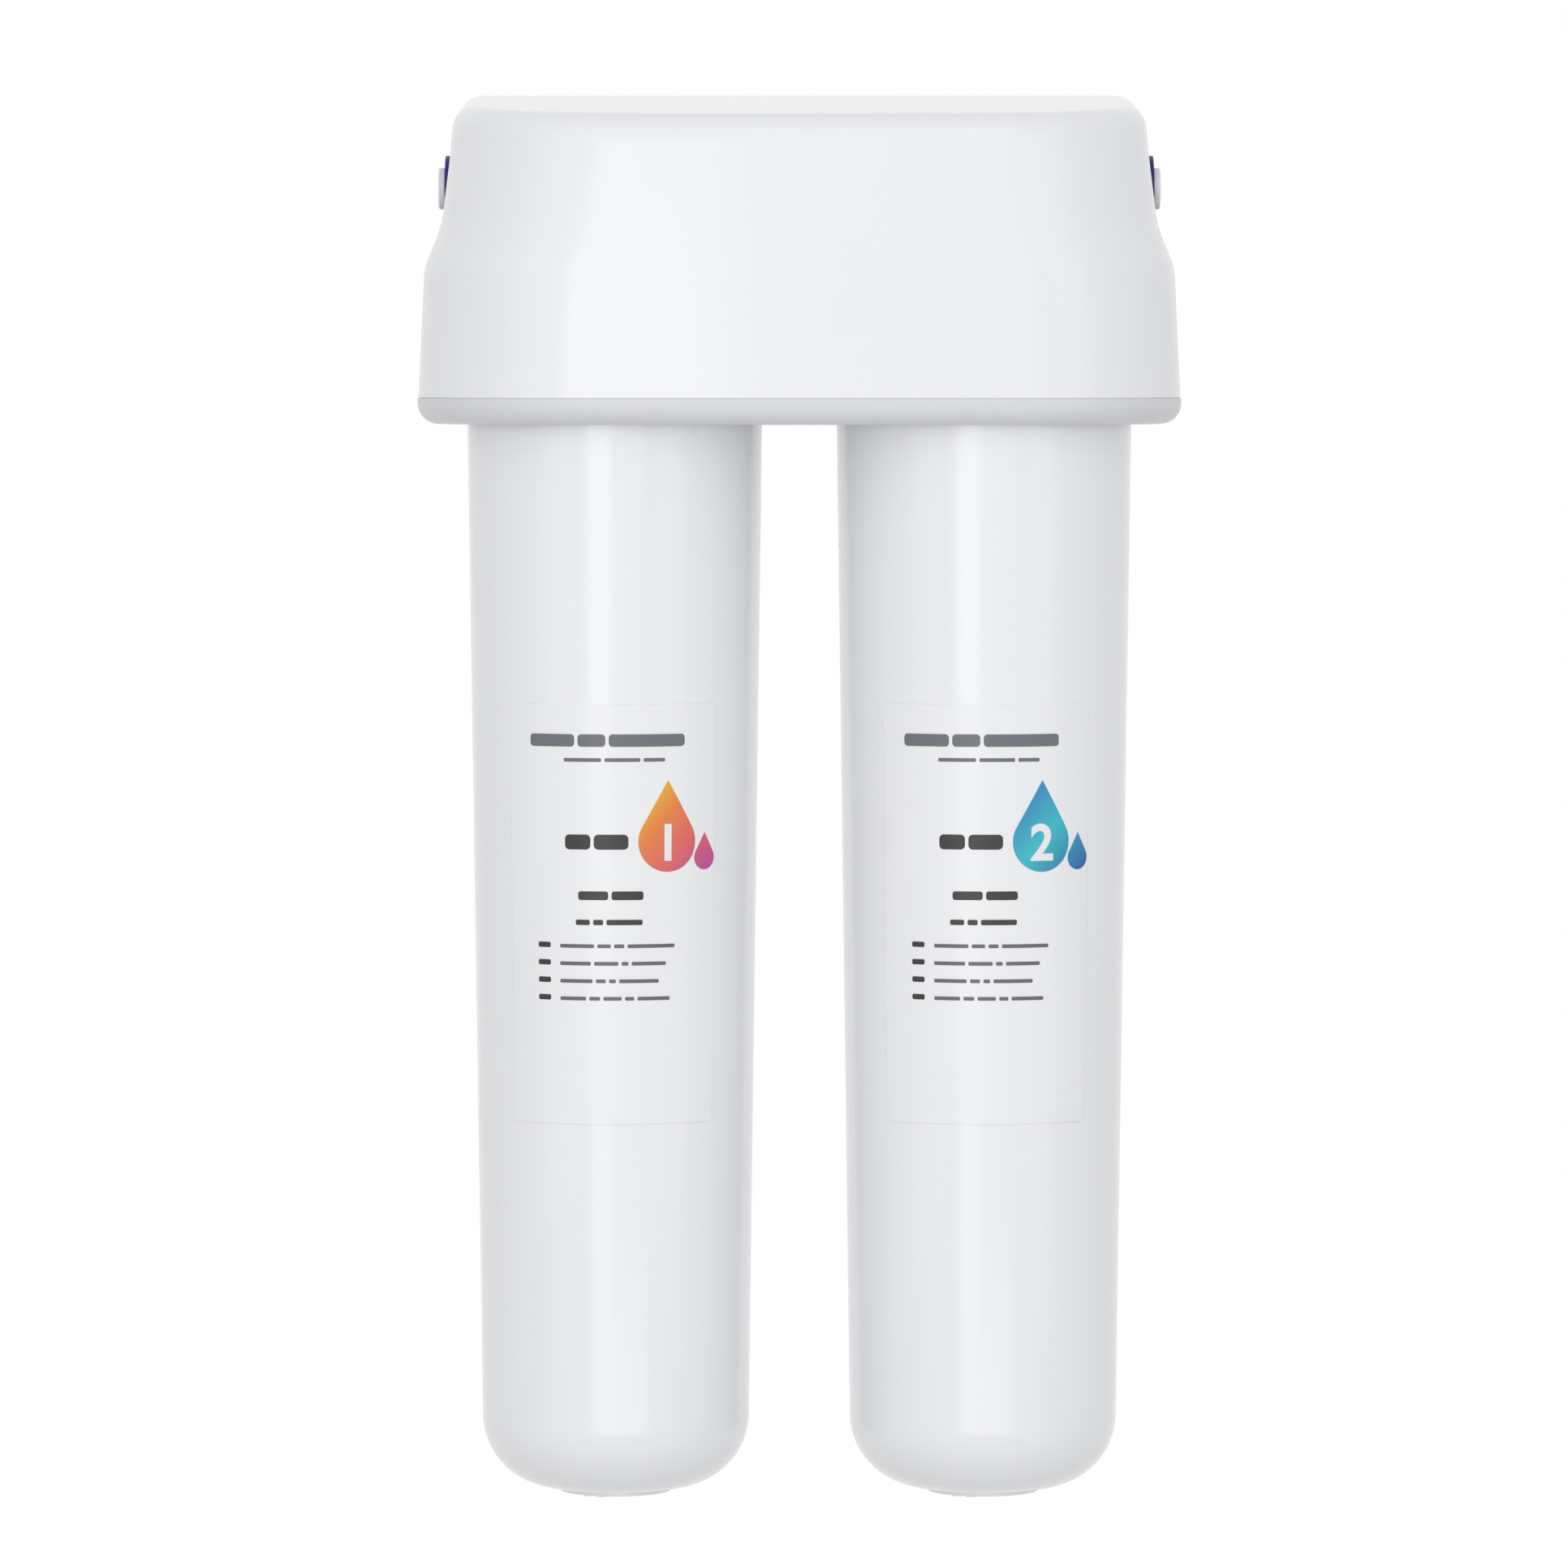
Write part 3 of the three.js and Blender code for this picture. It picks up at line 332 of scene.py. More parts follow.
def box_outline(x0, x1, y0, y1, corner=0.0, steps=6):
    """A rectangle, counter-clockwise, with its corners rounded."""
    if corner == 0:
        return [(x0, y0), (x1, y0), (x1, y1), (x0, y1)]
    out = []
    for x, y, start in ((x1 - corner, y0 + corner, -pi / 2), (x1 - corner, y1 - corner, 0),
                        (x0 + corner, y1 - corner, pi / 2), (x0 + corner, y0 + corner, pi)):
        out += arc((x, y), corner, start, start + pi / 2, steps)
    return out


def rounded(profile, radius, ring=False, steps=4):
    """The profile with its corners rounded, but for its ends unless it closes on itself."""
    last = len(profile) - 1
    out = []
    for k, corner in enumerate(profile):
        if not ring and k in (0, last):
            out.append(corner)
            continue
        here = np.array(corner, float)
        before = np.array(profile[k - 1]) - here
        after = np.array(profile[(k + 1) % (last + 1)]) - here
        run_in, run_out = np.linalg.norm(before), np.linalg.norm(after)
        before, after = before / run_in, after / run_out
        opening = acos(np.clip(before @ after, -1, 1))
        if opening > nearly_straight:
            out.append(corner)
            continue
        reach = min(radius / tan(opening / 2), rounding_share * run_in, rounding_share * run_out)
        size = reach * tan(opening / 2)
        middle = before + after
        centre = here + middle / np.linalg.norm(middle) * size / sin(opening / 2)
        first, final = here + before * reach - centre, here + after * reach - centre
        turn = pi - opening
        for step in range(steps + 1):
            share = step / steps
            blend = sin((1 - share) * turn) * first + sin(share * turn) * final
            out.append(tuple(centre + blend / sin(turn)))
    return out


def lathe(name, profile, sides, ring=False):
    """A solid turned about Z from [radius, z] points. With ring, the profile closes on itself."""
    points, faces, starts = [], [], []
    for radius, z in profile:
        starts.append(len(points))
        count = sides if radius > 0 else 1
        turns = (2 * pi * k / sides for k in range(count))
        points += [(radius * cos(a), radius * sin(a), z) for a in turns]
    rows = list(range(len(profile))) + ([0] if ring else [])
    for i, j in zip(rows, rows[1:]):
        a, b = starts[i], starts[j]
        for k in range(sides):
            n = (k + 1) % sides
            if profile[i][0] == 0:
                faces.append((a, b + k, b + n))
            elif profile[j][0] == 0:
                faces.append((a + k, b, a + n))
            else:
                faces.append((a + k, b + k, b + n, a + n))
    return mesh_object(name, points, faces)


def rod(radius, low, high, sides=32):
    return lathe("rod", [(0, low), (radius, low), (radius, high), (0, high)], sides)


def cross_rod(radius, start, end, side, level, sides=48):
    return moved(along_x(rod(radius, start, end, sides), side), 0, 0, level)


def loft(name, rings):
    """A solid through rings of equally many points, closed by a flat face at each end."""
    count = len(rings[0])
    points = [point for ring in rings for point in ring]
    faces = []
    for r in range(len(rings) - 1):
        for k in range(count):
            n = (k + 1) % count
            here, above = r * count, (r + 1) * count
            faces.append((here + k, here + n, above + n, above + k))
    top = (len(rings) - 1) * count
    faces += [tuple(range(count - 1, -1, -1)), tuple(range(top, top + count))]
    return mesh_object(name, points, faces)


def offset(outline, distance):
    """A closed outline, drawn counter-clockwise, moved outwards by a distance."""
    here = np.array(outline, float)
    ahead = np.roll(here, -1, 0) - here
    ahead /= np.linalg.norm(ahead, axis=1)[:, None]
    normal = np.stack([ahead[:, 1], -ahead[:, 0]], 1)
    both = normal + np.roll(normal, 1, 0)
    reach = 2 / np.maximum((both ** 2).sum(1), 1)
    return here + both * reach[:, None] * distance


def stacked(name, outline, stops):
    """The outline in XY, drawn in by an inset at each of some levels."""
    return loft(name, [[(x, y, z) for x, y in offset(outline, -inset)] for inset, z in stops])


def both_rims(edge, low, high):
    """Insets and levels from a rounded lower rim to a rounded upper one."""
    return [*quarter_round(edge, low), *reversed(quarter_round(edge, high, way=-1))]


def extruded(name, outline, low, high, edge=0.0):
    """A plate of the outline's shape in XY, with rounded rims."""
    return stacked(name, outline, both_rims(edge, low, high) if edge > 0 else [(0, low), (0, high)])


def flared(outline, low, high, edge):
    """A cutter of the outline's shape that also rounds the rims of the hole it makes."""
    stops = [(edge, low - overrun), *both_rims(edge, low, high), (edge, high + overrun)]
    return stacked("cutter", outline, [(-out, z) for out, z in stops])


def bent_bar(name, inner, outer, angles, lows, highs, steps):
    """A bar of four-cornered section bent round Z. Each pair is for its start and its end."""
    rings = []
    for angle, low, high in zip(*(np.linspace(*pair, steps + 1) for pair in (angles, lows, highs))):
        corners = [(inner, low), (outer, low), (outer, high), (inner, high)]
        rings.append([(radius * cos(angle), radius * sin(angle), z) for radius, z in corners])
    return loft(name, rings)


def settle(obj):
    """Applies the object's modifiers."""
    graph = bpy.context.evaluated_depsgraph_get()
    mesh = bpy.data.meshes.new_from_object(obj.evaluated_get(graph))
    obj.modifiers.clear()
    obj.data = mesh
    return obj


def combine(obj, operation, others):
    for other in others:
        step = obj.modifiers.new(operation, "BOOLEAN")
        step.operation = operation
        step.solver = "MANIFOLD"
        step.object = other
    settle(obj)
    for other in others:
        bpy.data.objects.remove(other)
    return obj


def join(name, parts):
    """One object out of several that don't overlap."""
    work = bmesh.new()
    for part in parts:
        work.from_mesh(part.data)
        bpy.data.objects.remove(part)
    mesh = bpy.data.meshes.new(name)
    work.to_mesh(mesh)
    work.free()
    return new_object(name, mesh)


# Materials. Colours are linear, and scales are in patches a metre.

tone_scale = 22
tone_detail = 3
tone_low, tone_high = 0.3, 0.7
gloss_spread = 0.15
grain_scale = 900
grain_strength = 0.15
coat_roughness = 0.08
ink_roughness = 0.35


def new_material(name):
    """A material with its node tree and its shader."""
    material = bpy.data.materials.new(name)
    material.use_nodes = True
    return material, material.node_tree, material.node_tree.nodes["Principled BSDF"]


def noise(tree, place, scale, detail=2):
    """The value of a noise texture."""
    texture = tree.nodes.new("ShaderNodeTexNoise")
    texture.inputs["Scale"].default_value = scale
    texture.inputs["Detail"].default_value = detail
    tree.links.new(place, texture.inputs["Vector"])
    return texture.outputs["Fac"]


def ramp(tree, value, stops):
    """A colour for a value. A stop is a value and the colour that it gets, and stops go upwards."""
    node = tree.nodes.new("ShaderNodeValToRGB")
    elements = node.color_ramp.elements
    while len(elements) < len(stops):
        elements.new(stops[1][0])
    for k, (position, colour) in enumerate(stops):
        elements[k].position = position
        elements[k].color = (*colour, 1)
    tree.links.new(value, node.inputs["Fac"])
    return node.outputs["Color"]


def plastic(name, colour, roughness, grain, patch=0.02, coat=0.0, shine=0.5):
    """Moulded plastic: slight unevenness of tone and gloss, and a fine surface grain."""
    material, tree, shader = new_material(name)
    place = tree.nodes.new("ShaderNodeTexCoord").outputs["Object"]
    tone = noise(tree, place, tone_scale, tone_detail)
    darker = [c * (1 - patch) for c in colour]
    shades = ramp(tree, tone, ((tone_low, darker), (tone_high, colour)))
    tree.links.new(shades, shader.inputs["Base Color"])
    gloss = tree.nodes.new("ShaderNodeMapRange")
    gloss.inputs["To Min"].default_value = roughness * (1 - gloss_spread)
    gloss.inputs["To Max"].default_value = roughness * (1 + gloss_spread)
    tree.links.new(tone, gloss.inputs["Value"])
    tree.links.new(gloss.outputs["Result"], shader.inputs["Roughness"])
    bump = tree.nodes.new("ShaderNodeBump")
    bump.inputs["Strength"].default_value = grain_strength
    bump.inputs["Distance"].default_value = grain * MM
    tree.links.new(noise(tree, place, grain_scale), bump.inputs["Height"])
    tree.links.new(bump.outputs["Normal"], shader.inputs["Normal"])
    shader.inputs["Specular IOR Level"].default_value = shine
    shader.inputs["Coat Weight"].default_value = coat
    shader.inputs["Coat Roughness"].default_value = coat_roughness
    return material


def steel(name):
    material = plastic(name, (0.62, 0.62, 0.61), 0.28, grain=0.01)
    material.node_tree.nodes["Principled BSDF"].inputs["Metallic"].default_value = 1
    return material


def fade(name, colours, start, end):
    """Print whose colour runs through the given ones from one point to another."""
    material, tree, shader = new_material(name)
    shader.inputs["Roughness"].default_value = ink_roughness
    run = (end - start) * MM
    along = tree.nodes.new("ShaderNodeVectorMath")
    along.operation = "DOT_PRODUCT"
    along.inputs[1].default_value = run / run.length_squared
    place = tree.nodes.new("ShaderNodeTexCoord").outputs["Object"]
    tree.links.new(place, along.inputs[0])
    shift = tree.nodes.new("ShaderNodeMath")
    shift.operation = "SUBTRACT"
    shift.inputs[1].default_value = start.dot(run) * MM / run.length_squared
    tree.links.new(along.outputs["Value"], shift.inputs[0])
    stops = [(k / (len(colours) - 1), colour) for k, colour in enumerate(colours)]
    shades = ramp(tree, shift.outputs["Value"], stops)
    tree.links.new(shades, shader.inputs["Base Color"])
    return material


moulded_white = (0.86, 0.866, 0.882)
finishes = {
    "cover_white": (moulded_white, 0.24, {"grain": 0.01, "patch": 0.008, "coat": 0.3}),
    "tray_grey": ((0.715, 0.721, 0.742), 0.36, {"grain": 0.01, "patch": 0.012}),
    "structure_white": ((0.78, 0.78, 0.77), 0.42, {"grain": 0.03, "patch": 0.03}),
    "shell_white": (moulded_white, 0.22, {"grain": 0.01, "patch": 0.008, "coat": 0.3}),
    "collet_grey": ((0.88, 0.88, 0.9), 0.35, {"grain": 0.02, "patch": 0.02}),
    "clip_blue": ((0.021, 0.017, 0.2), 0.36, {"grain": 0.02, "patch": 0.15, "shine": 0.3}),
    "seal_black": ((0.012, 0.012, 0.012), 0.6, {"grain": 0.02, "patch": 0.3}),
    "cap_white": ((0.84, 0.84, 0.82), 0.38, {"grain": 0.02, "patch": 0.03}),
    "core_carbon": ((0.02, 0.02, 0.021), 0.9, {"grain": 0.3, "patch": 0.4}),
    "label_film": ((0.865, 0.871, 0.886), 0.3, {"grain": 0.004, "patch": 0.004, "coat": 0.15}),
}
looks = {slot: plastic(slot, colour, roughness, **rest)
         for slot, (colour, roughness, rest) in finishes.items()}
looks["screw_steel"] = steel("screw_steel")

sharp_from = radians(32)


def finish(obj, name, body, slot, *nodes, look=None):
    """Names a piece, gives it its finish and its place in the frame, and smooths what isn't an edge."""
    mesh = obj.data
    mesh.materials.clear()
    mesh.materials.append(look or looks[slot])
    mesh.polygons.foreach_set("use_smooth", [True] * len(mesh.polygons))
    mesh.set_sharp_from_angle(angle=sharp_from)
    flatten = obj.modifiers.new("flatten", "WEIGHTED_NORMAL")
    flatten.keep_sharp = True
    settle(obj)
    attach(obj, body)
    if nodes:
        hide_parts(*nodes)
    obj.name = obj.data.name = name
    return obj


# Head: outline, cover, tray

def head_outline(half_width, depth, rear, corner, z, fall=0.0):
    """The head seen from above, from its right rear corner round the front, as points at a level."""
    run = half_width - corner
    centre = head_bow_radius - depth - sqrt((head_bow_radius - corner) ** 2 - run ** 2)
    bow_angle = asin(run / (head_bow_radius - corner))
    half = [(half_width, y) for y in np.linspace(-rear, centre, 16)[:-1]]
    half += arc((run, centre), corner, 0, bow_angle - pi / 2, 28)
    middle = (0, head_bow_radius - depth)
    half += arc(middle, head_bow_radius, bow_angle - pi / 2, -pi / 2, 14)[1:]
    both = half + [(-x, y) for x, y in reversed(half[:-1])]
    return [(x, y, z + fall * y / head_depth) for x, y in both]


def cover_side(level):
    """The cover's half width at a level, before its edges are softened."""
    if level < shoulder_level:
        share = (level - tray_seam) / (shoulder_level - tray_seam)
        return head_half_width + (shoulder_half_width - head_half_width) * share
    if level < scoop_top:
        share = (level - shoulder_level) / (scoop_top - shoulder_level)
        return scoop_half_width + (shoulder_half_width - scoop_half_width) * (1 - share) ** scoop_power
    share = (level - scoop_top) / (crown_level - scoop_top)
    return scoop_half_width + (crown_half_width - scoop_half_width) * share


def cover_depth(level):
    """How far the cover's front stands from the wall at a level."""
    return head_depth - front_draft * (level - tray_seam) / (crown_level - tray_seam)


def soft_side(level):
    """The cover's half width at a level, evened out over the levels near it."""
    shifts = np.linspace(-shoulder_softness, shoulder_softness, 15)
    weights = 1 - (shifts / (shoulder_softness * 1.1)) ** 2
    return float(np.average([cover_side(level + shift) for shift in shifts], weights=weights))


def cover_form(inset, rear, low, rim=0.0):
    """The cover's form drawn in by an inset. rim rounds its lower edge."""
    rings = []

    def ring(level, shape_level, drawn, fall):
        """An outline at level, as wide and deep as the cover is at shape_level, then drawn in."""
        rings.append(head_outline(soft_side(shape_level) - drawn, cover_depth(shape_level) - drawn,
                                  rear, head_corner_radius - drawn, level, fall))

    if rim > 0:
        for drawn, level in quarter_round(rim, low)[:-1]:
            ring(level, low, inset + drawn, 0)
    for level in np.linspace(low + rim, crown_level, 64)[:-1]:
        lift = min(max((level - scoop_top) / (crown_level - scoop_top), 0), 1)
        ring(level, level, inset, crown_fall * lift)
    for turn in np.linspace(0, pi / 2, 11):
        drawn = inset + crown_round * (1 - cos(turn))
        ring(crown_level + (crown_round - inset) * sin(turn), crown_level, drawn, crown_fall)
    for more in crown_insets:
        ring(crown_level + crown_round - inset, crown_level, inset + crown_round + more, crown_fall)
    return loft("cover_form", rings)


def port_window():
    """A cutter through both sides of the cover: an arch over each port, open at its bottom."""
    left, right = -port_to_wall - port_window_radius, -port_to_wall + port_window_radius
    bottom = tray_seam - overrun
    arch = arc((-port_to_wall, port_level + port_window_rise), port_window_radius, 0, pi, 48)
    reach = head_half_width + overrun
    return across_x(extruded("window", [(left, bottom), (right, bottom), *arch], -reach, reach))


def head_cover():
    cover = cover_form(0, head_rear_gap, tray_seam, seam_edge)
    inner = cover_form(cover_wall, -overrun, tray_seam - overrun)
    return combine(cover, "DIFFERENCE", [inner, port_window()])


def block(x0, x1, y0, y1, z0, z1):
    return extruded("block", box_outline(x0, x1, y0, y1), z0, z1)


def tray_cheeks():
    """The tray's cheeks, which follow the cover's form and fill its windows below the ports."""
    low = tray_seam - gap - cheek_foot
    reach = port_window_radius - slide_gap
    across = head_half_width + overrun
    cheeks = cover_form(cheek_inset, head_rear_gap, low)
    inner = cover_form(cover_wall, -overrun, low - overrun)
    keep = block(-across, across, -port_to_wall - reach, -port_to_wall + reach,
                 tray_seam - overrun, port_level - cheek_below_port)
    bore = moved(cross_rod(port_window_radius, -across, across, 1, port_level, 96), 0, -port_to_wall)
    combine(cheeks, "DIFFERENCE", [inner])
    combine(cheeks, "INTERSECT", [keep])
    return combine(cheeks, "DIFFERENCE", [bore])


def tray_outline(inset, rear, level):
    """The tray's outline at a level, drawn in by an inset but for its back."""
    return head_outline(head_half_width - inset, head_depth - inset, rear,
                        head_corner_radius - inset, level)


def tray_layer(inset, rear, low, high):
    return loft("layer", [tray_outline(inset, rear, level) for level in (low, high)])


def tray_pan():
    """The tray's floor and rim, and the lip that stands inside the cover."""
    stops = [(tray_edge_radius + tray_inner_ring, tray_underside),
             *quarter_round(tray_edge_radius, tray_underside, 13),
             *reversed(quarter_round(seam_edge, tray_seam - seam_gap, way=-1))]
    pan = loft("tray", [tray_outline(inset, head_rear_gap, level) for inset, level in stops])
    lip_top = tray_seam + tray_lip_height
    lip_inset = head_half_width - (cover_side(lip_top) - cover_wall - slide_gap)
    lip = tray_layer(lip_inset, head_rear_gap, tray_floor_top - overrun, lip_top)
    pocket = tray_layer(lip_inset + tray_lip_wall, head_rear_gap + tray_rear_wall, tray_floor_top,
                        lip_top + overrun)
    combine(pan, "UNION", [lip])
    return combine(pan, "DIFFERENCE", [pocket])


def tray_hole(side):
    """A cutter for a cartridge's opening, which also rounds the opening's lower edge."""
    rim = quarter_round(tray_hole_edge, tray_underside, 5)
    profile = [(0, tray_underside - overrun),
               (tray_hole_radius + tray_hole_edge, tray_underside - overrun),
               *((tray_hole_radius + out, level) for out, level in rim),
               (tray_hole_radius, tray_floor_top + overrun), (0, tray_floor_top + overrun)]
    return moved(lathe("hole", profile, 128), side * filter_pitch / 2, -filter_to_wall)


def base_tray():
    tray = tray_pan()
    combine(tray, "UNION", [tray_cheeks()])
    combine(tray, "DIFFERENCE", [tray_hole(side) for side in (-1, 1)])
    post_foot, post_top = tray_floor_top - weld, deck_underside - gap
    profile = rounded([(0, post_foot), (post_radius, post_foot), (post_radius, post_top),
                       (0, post_top)], post_edge)
    for x, y in tray_screw_places.values():
        combine(tray, "UNION", [moved(lathe("post", profile, 32), x, y)])
        pilot = rod(screw_radius + gap, post_top - pilot_depth, post_top + overrun)
        combine(tray, "DIFFERENCE", [moved(pilot, x, y)])
    return tray


# Mounting bracket and screws

def bracket_face():
    """The wall plate, with its two keyholes."""
    low = tray_seam + tray_lip_height + slide_gap
    outline = box_outline(-bracket_half_width, bracket_half_width, low, bracket_top, bracket_corner, 8)
    face = extruded("face", outline, 0, bracket_thickness, plate_edge)
    meet = sqrt(keyhole_head_radius ** 2 - keyhole_slot_radius ** 2)
    angle = atan2(meet, keyhole_slot_radius)
    holes = []
    for x in (-keyhole_spread, keyhole_spread):
        hole = arc((x, keyhole_slot_rise), keyhole_slot_radius, 0, pi, 16)
        hole += arc((x, 0), keyhole_head_radius, pi - angle, 2 * pi + angle, 40)
        holes.append(flared(hole, 0, bracket_thickness, plate_edge))
    return upright(combine(face, "DIFFERENCE", holes))


def deck():
    """The deck over the cartridge heads, with a slot from each side for a head's tower."""
    wide, slot, middle = bracket_half_width, deck_slot_radius, filter_pitch / 2
    corner_x, corner_y = wide - deck_corner, deck_corner - deck_reach
    cut = asin((filter_to_wall + slot - deck_reach + deck_corner) / deck_corner)
    front = arc((-corner_x, corner_y), deck_corner, pi + cut, 1.5 * pi, 19)
    front += arc((corner_x, corner_y), deck_corner, -pi / 2, -cut, 19)
    right = arc((middle, -filter_to_wall), slot, 1.5 * pi, pi / 2, 32)
    left = arc((-middle, -filter_to_wall), slot, pi / 2, -pi / 2, 32)
    slot_rear, rear = slot - filter_to_wall, -bracket_thickness / 2
    back = [(wide, slot_rear), (wide, rear), (-wide, rear), (-wide, slot_rear)]
    return extruded("deck", front + right + back + left, deck_underside, deck_top, deck_edge)


def rib(side):
    """A rib between the wall plate and the deck."""
    rear, foot = -bracket_thickness / 2, deck_top - weld
    outline = [(rear, foot), (rear, deck_top + rib_height), (-bracket_thickness - rib_reach, foot)]
    plate = extruded("rib", outline, -rib_thickness / 2, rib_thickness / 2, deck_edge)
    return moved(across_x(plate), side * rib_spread)


def mounting_bracket():
    bracket = combine(bracket_face(), "UNION", [deck(), rib(-1), rib(1)])
    holes = [moved(rod(screw_radius + gap, deck_underside - overrun, deck_top + overrun), x, y)
             for x, y in screw_places.values()]
    return combine(bracket, "DIFFERENCE", holes)


def screw():
    """A cross-slotted screw, with the underside of its head at the origin."""
    threads = []
    for level in np.arange(thread_start - screw_length, -thread_end, thread_pitch):
        threads += [(screw_radius - thread_depth, level), (screw_radius, level + thread_pitch / 2)]
    crown_centre = (screw_head_radius - screw_crown, screw_head_height - screw_crown)
    crown = arc(crown_centre, screw_crown, screw_crown_start, pi / 2, 6)
    body = lathe("screw", [(0, -screw_length), *threads, (screw_radius, -screw_edge),
                           (screw_head_radius - screw_edge, 0), (screw_head_radius, screw_edge),
                           (screw_head_radius, screw_head_height / 2), *crown,
                           (0, screw_head_height)], 32)
    far, near = cross_slot_length / 2, cross_slot_width / 2
    slots = [block(-x, x, -y, y, screw_head_height - cross_slot_depth, screw_head_height + overrun)
             for x, y in ((far, near), (near, far))]
    return combine(body, "DIFFERENCE", slots)


# Cartridge head, valve and ports, each about its own cartridge's axis

lug_places = [pi / 2 + k * 2 * pi / lug_count for k in range(lug_count)]


def helix(level, start, end):
    """The bayonet helix's heights at two angles from a lug's middle, where it is at a level."""
    rise = unlock_drop / unlock_angle
    return level + rise * start, level + rise * end


def lugs():
    inner, outer = neck_radius - lug_root, neck_radius + lug_reach
    underside = skirt_bottom + lug_above_skirt
    start, end = -lug_half_angle, lug_half_angle
    return [bent_bar("lug", inner, outer, (place + start, place + end), helix(underside, start, end),
                     helix(underside + lug_height, start, end), 8) for place in lug_places]


def ledges():
    """The socket's ledges, which the lugs turn onto, each with a stop at its end."""
    inner, outer = neck_bore_radius, skirt_radius + lug_root
    end = lug_half_angle + ledge_overlap_angle
    start = end - unlock_angle
    stop_start = end - ledge_overlap_angle / 2
    bottoms = (skirt_bottom, skirt_bottom)
    ledge_tops = helix(skirt_bottom + lug_above_skirt - gap, start, end)
    stop_tops = (skirt_top + lug_root, skirt_top + lug_root)
    bars = []
    for place in lug_places:
        bars.append(bent_bar("ledge", inner, outer, (place + start, place + end), bottoms,
                             ledge_tops, 12))
        bars.append(bent_bar("stop", inner, outer, (place + stop_start, place + end + stop_angle),
                             bottoms, stop_tops, 3))
    return bars


def cartridge_head(side):
    """side is the way its port points. The crossover's boss points the other way."""
    def port_rod(radius, start, end):
        return moved(cross_rod(radius, start, end, side, port_level), 0, port_setback)

    def pipe_rod(radius, start, end):
        return cross_rod(radius, start, end, -side, crossover_level)

    outside = [(0, skirt_bottom), (barrel_radius, skirt_bottom),
               (barrel_radius, barrel_top - barrel_chamfer),
               (barrel_radius - barrel_chamfer, barrel_top), (tower_radius, barrel_top),
               (tower_radius, tower_top), (0, tower_top)]
    inside = [(0, skirt_bottom - overrun), (skirt_radius, skirt_bottom - overrun),
              (skirt_radius, skirt_top), (neck_bore_radius, skirt_top),
              (neck_bore_radius, gallery_top), (nipple_bore_radius, gallery_top),
              (nipple_bore_radius, valve_seat), (chamber_radius, valve_seat),
              (chamber_radius, chamber_top), (0, chamber_top)]
    head = lathe("head", rounded(outside, socket_edge), 96)
    combine(head, "UNION", [port_rod(port_boss_radius, 0, port_boss_reach),
                            pipe_rod(crossover_boss_radius, 0, crossover_boss_reach)])
    spigot_seat = port_boss_reach - port_spigot_length - gap
    pipe_seat = crossover_boss_reach - crossover_seat_depth - gap
    cuts = [lathe("inside", inside, 96),
            port_rod(port_water_bore, 0, port_boss_reach),
            port_rod(port_spigot_radius + gap, spigot_seat, port_boss_reach + overrun),
            pipe_rod(crossover_bore, neck_radius, crossover_boss_reach),
            pipe_rod(crossover_radius + gap, pipe_seat, crossover_boss_reach + overrun)]
    cuts += [moved(rod(screw_radius + gap, barrel_top - pilot_depth, barrel_top + overrun), 0, y)
             for y in (-head_screw_spread, head_screw_spread)]
    combine(head, "DIFFERENCE", cuts)
    return combine(head, "UNION", ledges())


def crossover_pipe():
    reach = filter_pitch / 2 - crossover_boss_reach + crossover_seat_depth
    profile = box_outline(crossover_bore, crossover_radius, -reach, reach)
    pipe = lathe("pipe", rounded(profile, pipe_edge, ring=True), 48, ring=True)
    return moved(along_x(pipe, 1), 0, -filter_to_wall, crossover_level)


def port_body():
    """A push-fit body: spigot, waist between two collars, and the stepped bore for collet and tube."""
    start, end = port_boss_reach + gap, port_mouth
    spigot_end = port_boss_reach - port_spigot_length
    collet_stop, tube_stop = end - collet_bore_depth, end - port_guide_depth
    profile = [(port_water_bore, spigot_end), (port_spigot_radius, spigot_end),
               (port_spigot_radius, start), (port_body_radius, start),
               (port_body_radius, start + port_collar_length),
               (port_waist_radius, start + port_collar_length),
               (port_waist_radius, end - port_collar_length),
               (port_body_radius, end - port_collar_length), (port_body_radius, end),
               (collet_bore_radius, end), (collet_bore_radius, collet_stop),
               (tube_bore_radius, collet_stop), (tube_bore_radius, tube_stop),
               (port_water_bore, tube_stop)]
    return lathe("port", rounded(profile, port_edge, ring=True), 64, ring=True)


def port_collet():
    inner_end = port_mouth - collet_barrel_length
    flange = port_mouth + clip_thickness + gap + collet_seat
    outer_end = port_mouth + clip_thickness + 2 * gap + collet_flange_length
    profile = [(tube_bore_radius, inner_end), (collet_barrel_radius, inner_end),
               (collet_barrel_radius, flange), (collet_flange_radius, flange),
               (collet_flange_radius, outer_end), (tube_bore_radius, outer_end)]
    return lathe("collet", rounded(profile, collet_edge, ring=True), 64, ring=True)


def lock_clip():
    """A horseshoe with short legs that sits behind the collet's flange."""
    bore = collet_barrel_radius + gap
    outline = [*arc((0, 0), clip_radius, 0, pi, 48),
               (-clip_radius, -clip_leg_drop), (-bore, -clip_leg_drop),
               *arc((0, 0), bore, pi, 0, 32),
               (bore, -clip_leg_drop), (clip_radius, -clip_leg_drop)]
    plate = extruded("clip", outline, -clip_thickness / 2, clip_thickness / 2, clip_edge)
    return across_x(plate)


